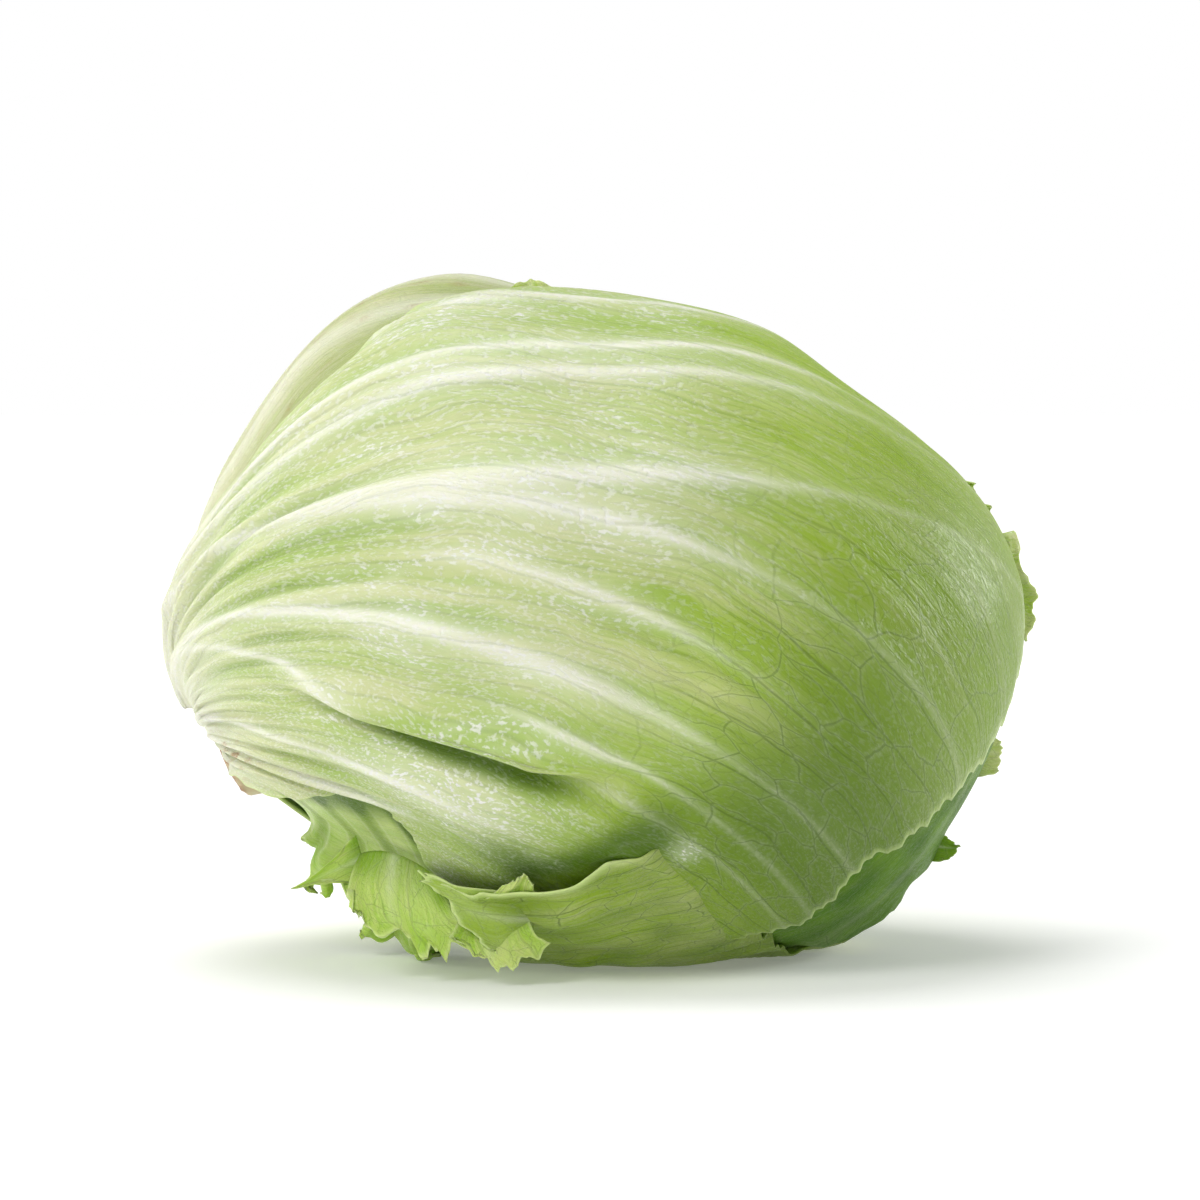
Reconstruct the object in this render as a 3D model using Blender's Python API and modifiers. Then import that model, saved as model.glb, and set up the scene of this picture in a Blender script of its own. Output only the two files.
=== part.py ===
"""A head of iceberg lettuce lying on its side on a level surface.

The head is a dense heart wrapped in six open leaves that grow from a cut stem stub, the butt.
The butt faces left and a little down, the leaves fan from it to the right, and the head rests
on a small flat spot of its lowest leaf. Units are metres, +Z is up, the front is -Y, and the
origin is on the surface below the middle of the head.

Every leaf is a thin shell that follows one common body shape, the form. A leaf has a depth
below the form, given by its layer, so leaves lie over each other with a small gap between.
"""

import math

import bmesh
import bpy
import numpy as np
from mathutils import Vector

MM = 0.001

# Form of the head: an outline seen from the front, and a half depth from front to back.
CENTRE = np.array([0.0, 0.0, 66.5 * MM])
OUTLINE_RADIUS = 75.4 * MM
OUTLINE_SWELLS = (  # lobes round the outline, height, direction of the first lobe in degrees
    (1, 1.3 * MM, -75.0),
    (2, 9.0 * MM, -36.0),
    (4, 1.3 * MM, 25.0),
    (5, 0.8 * MM, -130.0),
    (6, 1.8 * MM, 41.0),
)
HALF_DEPTH = 74.0 * MM
SETTLE = 1.6 * MM  # how softly a leaf turns from its round side into the flat that it lies on

# Leaves and the layers that they lie in.
LEAF_THICKNESS = 1.1 * MM
LEAF_GAP = 0.9 * MM
LAYER_PITCH = LEAF_THICKNESS + LEAF_GAP
UNDER_LAYER = -1
FRONT_LAYER = 0
BACK_LAYER = 0
TOP_LAYER = 1
FRILLED_LAYER = 1
DARK_LAYER = 2
HEART_LAYER = 3
CLEARANCE = 0.3 * MM  # least gap between two pieces, or a hanging edge and the surface

# Directions from the centre, as longitude from the front and latitude above the level.
BUTT_PLACE = (-98.0, -17.0)
FRONT_MIDDLE = (5.0, 8.0)
FRONT_TIP_POLE = (150.0, -60.0)
ROLL = 4.0  # degrees that the pattern of leaves is rolled back about X on the form

# Front leaf. Distances and azimuths are in degrees on its own fan, where 90 is its middle.
FRONT_UPPER = (-20.0, -33.0)  # azimuth of its upper edge near the butt, and over the top
FRONT_UPPER_TURN = (60.0, 90.0)  # distances between which that edge climbs
FRONT_LOWER = (50.0, 63.0)  # azimuth of its lower edge over the frill, and under the head
FRONT_LOWER_TURN = (92.0, 104.0)
FRONT_REACH = 128.0
FRONT_REACH_UP = 119.0
FRONT_REACH_DOWN = 112.0
FRONT_ROWS_TO_TIP = 0.55  # how much closer the rows of faces lie at the tip than at the butt
FRONT_RIBS = (-24.0, -17.5, -10.5, -3.5, 9.0, 15.0)
FRONT_RIB_WIDTH = 2.3
RIB_HEIGHT = 1.5 * MM
CREASE_SPAN = (48.0, 64.0, 86.0, 95.0)  # distances where the crease opens, is open, closes, is closed
CREASE_AZIMUTH = 20.2
CREASE_DROP = 2.4
LIP_RISE = 4.6 * MM
BULGE_PLACE = (85.0, 31.0)  # distance and azimuth of the swelling below the crease
BULGE_RISE = 3.5 * MM
EDGE_RISE = 4.0 * MM  # lift of the lower edge over the frilled leaf

# The other leaves, with angles in degrees from the butt and round it (0 front, 90 down, 180 back).
TOP_MIDDLE = -68.0
TOP_HALF_WIDTH = (62.0, 90.0)  # near the butt, and at the tip
TOP_REACH = 170.0
TOP_RISE = 2.4 * MM  # swelling where the leaf is bare
FRILL_INNER = (22.0, 36.0)  # azimuth of its hidden edge near the butt, and at the tip
FRILL_OUTER = 84.0
FRILL_TEETH = 5.0
FRILL_TOOTH = 10.0
FRILL_RISE = 10.5 * MM
PLEAT_LENGTH = 9.0
PLEAT_RISE = 2.0 * MM
DARK_MIDDLE = 92.0
DARK_HALF_WIDTH = (46.0, 82.0)  # of its whole length, and of its far side at the tip
DARK_REACH = 171.0
DARK_RISE = 1.9 * MM
UNDER_NEAR = (104.0, 47.0)  # azimuth of its front edge beside the frill, and along the turned-up band
UNDER_NEAR_TURN = (48.0, 66.0)
UNDER_FAR = (150.0, 134.0)
UNDER_REACH = 112.0
CUFF_RISE = 2.5 * MM
BACK_MIDDLE = 197.0
BACK_HALF_WIDTH = 57.0
BACK_REACH = 150.0
BACK_RIBS = (165.9, 181.5, 197.0, 212.5, 228.1, 243.6)
BACK_RIB_WIDTH = 4.5
TEAR_RISE = 2.2 * MM
TEARS = 4.0

# Heart.
HEART_SEGMENTS = 40
HEART_RINGS = 24
HEART_FOLDS = 5.0
HEART_FOLD_DEPTH = 1.5 * MM

# Stem stub in the butt.
STEM_RADIUS = 13.0 * MM
STEM_FLARE = 0.6 * MM
STEM_RECESS = 1.0 * MM
STEM_BEVEL = 1.2 * MM
STEM_DISH = 0.8 * MM
STEM_STEPS = 28
BUTT_DEPTH = 8.0 * MM
BUTT_RING = 77.0 * MM  # least distance of a leaf's root from the centre
LEAF_START = math.degrees(math.asin((STEM_RADIUS + STEM_FLARE + 1.5 * MM) / BUTT_RING))


def unit(longitude, latitude):
    """Direction for a longitude from the front and a latitude, rolled back with the leaves."""
    turn = math.radians(longitude)
    rise = math.radians(latitude)
    roll = math.radians(ROLL)
    side = math.sin(turn) * math.cos(rise)
    back = -math.cos(turn) * math.cos(rise)
    up = math.sin(rise)
    return np.array([
        side,
        back * math.cos(roll) + up * math.sin(roll),
        up * math.cos(roll) - back * math.sin(roll),
    ])


def ease(value, start, end):
    """Smooth step from 0 at start to 1 at end."""
    x = np.clip((value - start) / (end - start), 0.0, 1.0)
    return x * x * (3.0 - 2.0 * x)


def hump(value, middle, half_width):
    """Smooth bump, 1 at its middle and close to 0 past twice its half width."""
    return np.exp(-((value - middle) / half_width) ** 2)


def zigzag(value):
    """Triangle wave between 0 and 1, one tooth for each whole number."""
    return np.abs(2.0 * (value - np.floor(value)) - 1.0)


BUTT = unit(*BUTT_PLACE)
FRONTWARD = unit(*FRONT_MIDDLE) - unit(*FRONT_MIDDLE).dot(BUTT) * BUTT
FRONTWARD = FRONTWARD / np.linalg.norm(FRONTWARD)
DOWNWARD = np.cross(FRONTWARD, BUTT)


def form_radius(direction):
    """Distance from the centre to the form: an outline in X and Z, closed as an oval along Y."""
    side = np.hypot(direction[..., 0], direction[..., 2])
    turn = np.arctan2(direction[..., 2], direction[..., 0])
    outline = OUTLINE_RADIUS
    for lobes, height, lead in OUTLINE_SWELLS:
        outline = outline + height * np.cos(lobes * turn - math.radians(lead))
    return 1.0 / np.sqrt((side / outline) ** 2 + (direction[..., 1] / HALF_DEPTH) ** 2)


def settle(height, floor):
    """Height that isn't below the floor: exactly on it when well below, and softly turned near it."""
    over = height - floor
    soft = (over + SETTLE) ** 2 / (4.0 * SETTLE)
    return floor + np.where(over < -SETTLE, 0.0, np.where(over > SETTLE, over, soft))


def shell_point(direction, depth, rest=CLEARANCE):
    """Point in a direction at a depth below the form, laid on the surface where it would sink."""
    point = CENTRE + direction * (form_radius(direction) - depth)[..., None]
    floor = np.maximum(depth + LAYER_PITCH, rest)
    point[..., 2] = settle(point[..., 2], floor)
    return point


def polar(distance, azimuth):
    """Direction at an angle from the butt and a turn round it from the front downwards, in degrees."""
    away = np.radians(distance)
    turn = np.radians(azimuth)
    sideways = np.cos(turn)[..., None] * FRONTWARD + np.sin(turn)[..., None] * DOWNWARD
    return np.cos(away)[..., None] * BUTT + np.sin(away)[..., None] * sideways


def flat_basis(pole):
    """Two axes square to a pole, for a map of the sphere on a plane seen from that pole."""
    first = np.cross(pole, [0.3, 0.1, 1.0])
    first = first / np.linalg.norm(first)
    return first, np.cross(pole, first)


def to_map(direction, pole):
    """Place of a direction on the map, as one complex number."""
    first, second = flat_basis(pole)
    return (direction.dot(first) + 1j * direction.dot(second)) / (1.0 - direction.dot(pole))


FAN_POLE = unit(*FRONT_TIP_POLE)
FAN_BASE = to_map(BUTT, FAN_POLE)
FAN_AHEAD = to_map(unit(*FRONT_MIDDLE), FAN_POLE) - FAN_BASE


def fan(distance, azimuth):
    """Direction on the front leaf, whose ribs leave the butt and bend towards the tip's pole.

    Each rib is an arc of a circle through both, and the distance is 90 at the leaf's middle.
    """
    ray = np.tan(np.radians(distance) / 2.0) * np.exp(1j * np.radians(azimuth))
    place = FAN_BASE + FAN_AHEAD * ray
    first, second = flat_basis(FAN_POLE)
    size = np.abs(place) ** 2
    ahead = 2.0 * place.real[..., None] * first + 2.0 * place.imag[..., None] * second
    return (ahead + (size - 1.0)[..., None] * FAN_POLE) / (size + 1.0)[..., None]


def fan_place(direction):
    """Distance and azimuth of a direction on the front leaf's own scale, in degrees."""
    ray = (to_map(direction, FAN_POLE) - FAN_BASE) / FAN_AHEAD
    return np.degrees(2.0 * np.arctan(np.abs(ray))), np.degrees(np.angle(ray))


def fan_start():
    """Distance on the front leaf's own scale at which its base clears the stem."""
    ring = math.radians(LEAF_START + 1.0) * (1.0 + abs(FAN_BASE) ** 2) / 2.0
    return math.degrees(2.0 * math.atan(ring / abs(FAN_AHEAD)))


def between(pair, share):
    """Value at a share of the way from the first of a pair to the second."""
    return pair[0] + (pair[1] - pair[0]) * share


def rib_rise(azimuth, ribs, width, fade):
    """Height of the ribs at an azimuth, less where they fade towards the tip."""
    total = 0.0
    for rib in ribs:
        total = total + hump(azimuth, rib, width)
    return total * RIB_HEIGHT * (1.0 - 0.6 * fade)


def front_upper_edge(distance):
    """Azimuth of the front leaf's upper edge: low on the butt's side, over the top further on."""
    return between(FRONT_UPPER, ease(distance, *FRONT_UPPER_TURN))


def front_leaf(across, along):
    """The large visible leaf: ribs, the open crease, and a raised edge at the lower left."""
    start = fan_start()
    along = along + FRONT_ROWS_TO_TIP * along * (1.0 - along)
    upper = front_upper_edge(start + (FRONT_REACH_UP - start) * along)
    lower_distance = start + (FRONT_REACH_DOWN - start) * along
    lower = between(FRONT_LOWER, ease(lower_distance, *FRONT_LOWER_TURN))
    azimuth = upper + (lower - upper) * (across + 1.0) / 2.0
    reach = FRONT_REACH - (FRONT_REACH - FRONT_REACH_UP) * ease(azimuth, -8.0, -26.0)
    reach = reach - (FRONT_REACH - FRONT_REACH_DOWN) * ease(azimuth, 26.0, 54.0)
    reach = reach + 1.5 * np.sin(azimuth * 0.12) + 0.9 * np.sin(azimuth * 0.31 + 1.0)
    distance = start + (reach - start) * along
    ribs = rib_rise(azimuth, FRONT_RIBS, FRONT_RIB_WIDTH, ease(distance, 30.0, 110.0))
    opens, is_open, closes, is_closed = CREASE_SPAN
    crease = ease(distance, opens, is_open) * (1.0 - ease(distance, closes, is_closed))
    drop = 1.0 - ease(azimuth, CREASE_AZIMUTH, CREASE_AZIMUTH + CREASE_DROP)
    lip = LIP_RISE * crease * ease(azimuth, 6.0, CREASE_AZIMUTH) * drop
    bulge = BULGE_RISE * hump(distance, BULGE_PLACE[0], 15.0) * hump(azimuth, BULGE_PLACE[1], 6.0)
    covered = ease(distance, 62.0, 74.0) * ease(azimuth, 38.0, 44.0)
    edge = EDGE_RISE * ease(azimuth, 38.0, 51.0) * ease(distance, 22.0, 34.0)
    edge = edge * (1.0 - ease(distance, 58.0, 70.0))
    bare_tip = 1.0 - ease(distance, 104.0, 118.0)
    rise = ((ribs + lip) * bare_tip + bulge) * (1.0 - covered) + edge
    return shell_point(fan(distance, azimuth), FRONT_LAYER * LAYER_PITCH - rise)


def top_leaf(across, along):
    """The leaf under the front one, seen at the upper left and along the top."""
    azimuth = TOP_MIDDLE + between(TOP_HALF_WIDTH, ease(along, 0.7, 0.9)) * across
    reach = TOP_REACH - 3.0 * across ** 2 + 1.5 * np.sin(across * 9.0)
    distance = LEAF_START + (reach - LEAF_START) * along
    direction = polar(distance, azimuth)
    front_distance, front_azimuth = fan_place(direction)
    past_edge = front_upper_edge(front_distance) - front_azimuth
    bare = ease(past_edge, 1.5, 8.0) * ease(distance, 20.0, 40.0)
    bare = bare * (1.0 - ease(distance, 84.0, 100.0)) * ease(azimuth, -106.0, -92.0)
    return shell_point(direction, TOP_LAYER * LAYER_PITCH - TOP_RISE * bare)


def frilled_leaf(across, along):
    """The short leaf at the lower left: pleats that grow towards a jagged edge curled outwards.

    Its tip slips under the leaf that the head lies on, so the curl fades out before it.
    """
    inner = between(FRILL_INNER, ease(along, 0.1, 0.8))
    teeth = FRILL_TOOTH * zigzag(along * FRILL_TEETH + 0.2) * ease(along, 0.1, 0.3)
    outer = FRILL_OUTER + teeth - 8.0 * ease(along, 0.85, 1.0)
    azimuth = inner + (outer - inner) * (across + 1.0) / 2.0
    covered_from = 64.0 - 0.26 * (azimuth - 49.0)
    reach = covered_from + 4.0
    distance = LEAF_START + (reach - LEAF_START) * along
    free = ease(azimuth, 50.0, 84.0) * ease(distance, 17.0, 27.0)
    free = free * (1.0 - ease(distance, covered_from - 11.0, covered_from - 3.0))
    pleats = PLEAT_RISE * np.sin(math.tau * distance / PLEAT_LENGTH)
    rise = (FRILL_RISE + pleats) * free
    return shell_point(polar(distance, azimuth), FRILLED_LAYER * LAYER_PITCH - rise, rest=2.0 * CLEARANCE)


def dark_leaf(across, along):
    """The dark leaf under the others, which swells out at the lower right where it is bare."""
    far_side = ease(along, 0.6, 0.85) * ease(across, 0.0, 1.0)
    azimuth = DARK_MIDDLE + between(DARK_HALF_WIDTH, far_side) * across
    reach = DARK_REACH - 8.0 * across ** 2 + 1.5 * np.sin(across * 8.0)
    distance = LEAF_START + (reach - LEAF_START) * along
    direction = polar(distance, azimuth)
    front_distance = fan_place(direction)[0]
    bare = ease(front_distance, 136.0, 145.0) * (1.0 - ease(azimuth, 118.0, 130.0))
    lift = LAYER_PITCH * ease(distance, 70.0, 82.0)
    return shell_point(direction, DARK_LAYER * LAYER_PITCH - lift - DARK_RISE * bare)


def under_leaf(across, along):
    """The leaf that the head lies on, with the edge that turns up across the lower front."""
    whole = LEAF_START + (UNDER_REACH - LEAF_START) * along
    near = between(UNDER_NEAR, ease(whole, *UNDER_NEAR_TURN))
    far = between(UNDER_FAR, ease(along, 0.7, 1.0) ** 2)
    azimuth = near + (far - near) * (across + 1.0) / 2.0
    cut = 14.0 * hump(azimuth, 48.0, 16.0) + 26.0 * hump(azimuth, 70.0, 9.0)
    cut = cut + 12.0 * ease(azimuth, 112.0, 140.0)
    distance = whole - cut * np.clip((along - 0.6) / 0.4, 0.0, 1.0)
    cuff = CUFF_RISE * (1.0 - ease(azimuth, 50.0, 64.0)) * ease(distance, 60.0, 70.0)
    return shell_point(polar(distance, azimuth), UNDER_LAYER * LAYER_PITCH - cuff, rest=0.0)


def back_leaf(across, along):
    """The outer leaf on the far side, with a torn tip that reaches round to the right rim."""
    azimuth = BACK_MIDDLE + BACK_HALF_WIDTH * across
    tears = zigzag(across * TEARS)
    reach = BACK_REACH - 7.0 * across ** 2 + 12.0 * hump(across, -0.15, 0.4) + 2.5 * tears
    distance = LEAF_START + (reach - LEAF_START) * along
    ribs = rib_rise(azimuth, BACK_RIBS, BACK_RIB_WIDTH, ease(distance, 40.0, 120.0))
    torn = TEAR_RISE * (0.5 + tears) * ease(along, 0.86, 1.0) * hump(across, -0.2, 0.4)
    return shell_point(polar(distance, azimuth), BACK_LAYER * LAYER_PITCH - ribs - torn)


def plain_material(name, colour, roughness):
    """A matt, slightly wet plant surface in one colour."""
    material = bpy.data.materials.new(name)
    material.use_nodes = True
    shader = material.node_tree.nodes["Principled BSDF"]
    shader.inputs["Base Color"].default_value = (*colour, 1.0)
    shader.inputs["Roughness"].default_value = roughness
    shader.inputs["Metallic"].default_value = 0.0
    return material


def shade(mesh):
    """Smooth shading, with the thin edges of a leaf kept sharp."""
    mesh.shade_smooth()
    mesh.set_sharp_from_angle(angle=math.radians(50.0))


def add_leaf(collection, name, surface, columns, rows, colour):
    """A leaf: a grid bent by its surface function, cut in triangles and thickened inwards."""
    sheet = bmesh.new()
    bmesh.ops.create_grid(sheet, x_segments=columns, y_segments=rows, size=1.0)
    bmesh.ops.triangulate(sheet, faces=sheet.faces, quad_method="FIXED")
    places = np.array([vertex.co[:2] for vertex in sheet.verts])
    points = surface(places[:, 0], (places[:, 1] + 1.0) / 2.0)
    for vertex, point in zip(sheet.verts, points):
        vertex.co = point
    mesh = bpy.data.meshes.new(name)
    sheet.to_mesh(mesh)
    sheet.free()
    shade(mesh)
    leaf = bpy.data.objects.new(name, mesh)
    leaf.data.materials.append(plain_material(name + "_green", colour, 0.45))
    wall = leaf.modifiers.new("leaf thickness", "SOLIDIFY")
    wall.thickness = LEAF_THICKNESS
    wall.offset = -1.0
    collection.objects.link(leaf)
    return leaf


def add_heart(collection):
    """The heart: a ball on the form with a flat at the butt and the edges of folded leaves."""
    ball = bmesh.new()
    bmesh.ops.create_uvsphere(ball, u_segments=HEART_SEGMENTS, v_segments=HEART_RINGS, radius=1.0)
    bmesh.ops.triangulate(ball, faces=ball.faces)
    local = np.array([vertex.co[:] for vertex in ball.verts])
    local = local / np.linalg.norm(local, axis=1)[:, None]
    directions = local[:, 2:3] * BUTT + local[:, 0:1] * FRONTWARD - local[:, 1:2] * DOWNWARD
    turn = np.arctan2(-local[:, 1], local[:, 0])
    away = np.degrees(np.arccos(np.clip(local[:, 2], -1.0, 1.0)))
    steps = turn * HEART_FOLDS / math.tau + away / 140.0
    folds = HEART_FOLD_DEPTH * (1.0 - ease(zigzag(steps), 0.0, 0.5))
    folds = folds * ease(away, 20.0, 40.0) * ease(away, 178.0, 150.0)
    points = shell_point(directions, HEART_LAYER * LAYER_PITCH + folds)
    over = np.maximum((points - CENTRE).dot(BUTT) - (form_radius(BUTT) - BUTT_DEPTH), 0.0)
    points = points - over[:, None] * BUTT
    for vertex, point in zip(ball.verts, points):
        vertex.co = point
    mesh = bpy.data.meshes.new("heart")
    ball.to_mesh(mesh)
    ball.free()
    shade(mesh)
    heart = bpy.data.objects.new("heart", mesh)
    heart.data.materials.append(plain_material("heart_pale", (0.62, 0.72, 0.34), 0.5))
    collection.objects.link(heart)
    return heart


def add_stem(collection):
    """The stem stub: a turned profile on the butt's axis, with a flared root and a dished cut face."""
    foot = form_radius(BUTT) - BUTT_DEPTH + CLEARANCE
    face = form_radius(BUTT) - STEM_RECESS
    profile = (
        (0.0, face - STEM_DISH),
        (STEM_RADIUS * 0.55, face - STEM_DISH * 0.6),
        (STEM_RADIUS - STEM_BEVEL, face),
        (STEM_RADIUS, face - STEM_BEVEL),
        (STEM_RADIUS, (face + foot) / 2.0),
        (STEM_RADIUS + STEM_FLARE, foot),
        (0.0, foot),
    )
    mesh = bpy.data.meshes.new("stem")
    edges = [(i, i + 1) for i in range(len(profile) - 1)]
    mesh.from_pydata([(radius, 0.0, height) for radius, height in profile], edges, [])
    stem = bpy.data.objects.new("stem", mesh)
    stem.data.materials.append(plain_material("stem_cut", (0.70, 0.62, 0.42), 0.6))
    turn = stem.modifiers.new("round the stem", "SCREW")
    turn.steps = STEM_STEPS
    turn.render_steps = STEM_STEPS
    turn.use_merge_vertices = True
    turn.merge_threshold = 0.0001
    stem.location = CENTRE
    stem.rotation_mode = "QUATERNION"
    stem.rotation_quaternion = Vector((0.0, 0.0, 1.0)).rotation_difference(Vector(BUTT))
    collection.objects.link(stem)
    return stem


def main():
    """Build the head in a collection of its own."""
    for item in list(bpy.data.objects):
        bpy.data.objects.remove(item)
    head = bpy.data.collections.new("iceberg_lettuce")
    bpy.context.scene.collection.children.link(head)
    add_stem(head)
    add_heart(head)
    add_leaf(head, "front_leaf", front_leaf, 36, 24, (0.50, 0.64, 0.24))
    add_leaf(head, "top_leaf", top_leaf, 16, 16, (0.56, 0.68, 0.30))
    add_leaf(head, "frilled_leaf", frilled_leaf, 20, 26, (0.45, 0.64, 0.14))
    add_leaf(head, "dark_leaf", dark_leaf, 14, 18, (0.18, 0.38, 0.08))
    add_leaf(head, "under_leaf", under_leaf, 18, 20, (0.36, 0.55, 0.16))
    add_leaf(head, "back_leaf", back_leaf, 22, 16, (0.46, 0.62, 0.22))


main()
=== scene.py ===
"""Finish and setting of a head of iceberg lettuce that lies on its side.

Every leaf is a fine numpy surface on the same body shape as the solids, closed with a thin wall.
Directions from the middle of the head are given by a distance in degrees from the cut butt and an
azimuth round it (0 front, 90 down, 180 back). The front leaf has a scale of its own, the fan.
"""

import logging
import math
from dataclasses import dataclass, field
from enum import Enum

import bpy
import numpy as np
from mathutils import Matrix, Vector


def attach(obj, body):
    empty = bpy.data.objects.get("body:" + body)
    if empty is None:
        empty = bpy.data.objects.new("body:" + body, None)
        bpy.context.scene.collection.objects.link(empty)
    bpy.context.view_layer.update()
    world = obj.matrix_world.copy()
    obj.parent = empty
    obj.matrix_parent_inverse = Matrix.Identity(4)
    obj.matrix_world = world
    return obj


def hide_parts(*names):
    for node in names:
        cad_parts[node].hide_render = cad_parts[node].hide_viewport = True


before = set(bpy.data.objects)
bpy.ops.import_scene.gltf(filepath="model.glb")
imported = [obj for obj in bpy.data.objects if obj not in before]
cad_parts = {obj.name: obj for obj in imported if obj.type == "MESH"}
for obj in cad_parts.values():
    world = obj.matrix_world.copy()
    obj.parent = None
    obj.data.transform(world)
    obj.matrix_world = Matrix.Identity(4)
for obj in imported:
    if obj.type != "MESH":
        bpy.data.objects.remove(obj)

LOG = logging.getLogger("lettuce")
MM = 0.001
WAVES = 12
BUMP_DEPTH = 0.4 * MM
Array = np.ndarray
Colour = tuple[float, float, float]
Span = tuple[float, float]
Place = tuple[float, float, float]


def ease(value: Array, start: float | Array, end: float | Array) -> Array:
    """Smooth step from 0 at start to 1 at end, which may be the smaller: 3x^2 - 2x^3 of the clipped share x."""
    x = np.clip((value - start) / (end - start), 0.0, 1.0)
    return x * x * (3.0 - 2.0 * x)


def window(value: Array, start: float | Array, full: float | Array, fade: float | Array, end: float | Array) -> Array:
    """Smooth rise from 0 at start to 1 at full, then fall from 1 at fade to 0 at end."""
    return ease(value, start, full) * ease(value, end, fade)


def hump(value: Array, middle: float | Array, half_width: float | Array) -> Array:
    """Smooth bump: exp of minus the square of the distance in half widths."""
    return np.exp(-(((value - middle) / half_width) ** 2))


def spot(azimuth: Array, distance: Array, middle: tuple[float, float], size: tuple[float, float]) -> Array:
    """Soft oval spot, with its middle and its half widths in azimuth and distance: a product of two bumps."""
    return hump(azimuth, middle[0], size[0]) * hump(distance, middle[1], size[1])


def peak(value: Array, sharpness: float = 1.0) -> Array:
    """Row of points, one for each whole number: 1 on it, falling straight to 0 halfway between."""
    return np.abs(2.0 * (value - np.floor(value)) - 1.0) ** sharpness


def wander(x: Array, y: Array, seed: int) -> Array:
    """Smooth random height, mostly between -1 and 1.

    It is the sum of plane sine waves of about unit length in seeded directions, over the root of
    their number.

    Args:
        x: First coordinate, in wave lengths.
        y: Second coordinate, in wave lengths.
        seed: Seed of the directions, lengths and phases.

    Returns:
        The height at each place.
    """
    random = np.random.default_rng(seed)
    turns = random.uniform(0.0, math.tau, WAVES)
    lengths = random.uniform(0.7, 1.6, WAVES)
    phases = random.uniform(0.0, math.tau, WAVES)
    total = np.zeros(np.broadcast(x, y).shape)
    for turn, length, phase in zip(turns, lengths, phases):
        total = total + np.sin(math.tau * (x * math.cos(turn) + y * math.sin(turn)) / length + phase)
    return total / math.sqrt(WAVES)


def curve(points: tuple, share: Array) -> Array:
    """Smooth curve between its end points, drawn towards the others: a Bernstein sum.

    Args:
        points: The end points and those between them, in mm.
        share: Places along the curve, from 0 to 1.

    Returns:
        The point at each place, in metres.
    """
    order = len(points) - 1
    total = 0.0
    for step, point in enumerate(points):
        weight = math.comb(order, step) * share**step * (1.0 - share) ** (order - step)
        total = total + weight[..., None] * np.array(point) * MM
    return total


def new_object(name: str, data: bpy.types.ID) -> bpy.types.Object:
    """New object at the origin of the scene, for a mesh, a lamp or a camera.

    Args:
        name: Name of the object.
        data: Its mesh, lamp or camera.

    Returns:
        The object.
    """
    piece = bpy.data.objects.new(name, data)
    bpy.context.scene.collection.objects.link(piece)
    return piece


def add_mask(mesh: bpy.types.Mesh, name: str, values: Array) -> None:
    """Adds one value a vertex, clipped to 0 and 1, as an attribute for the finish."""
    layer = mesh.attributes.new(name, "FLOAT", "POINT")
    layer.data.foreach_set("value", np.clip(values, 0.0, 1.0).astype(np.float32))


class Layer(Enum):
    """Depth of a leaf below the body shape, in steps of one leaf and one gap."""

    UNDER = -1
    OUTER = 0
    SECOND = 1
    THIRD = 2


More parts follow.
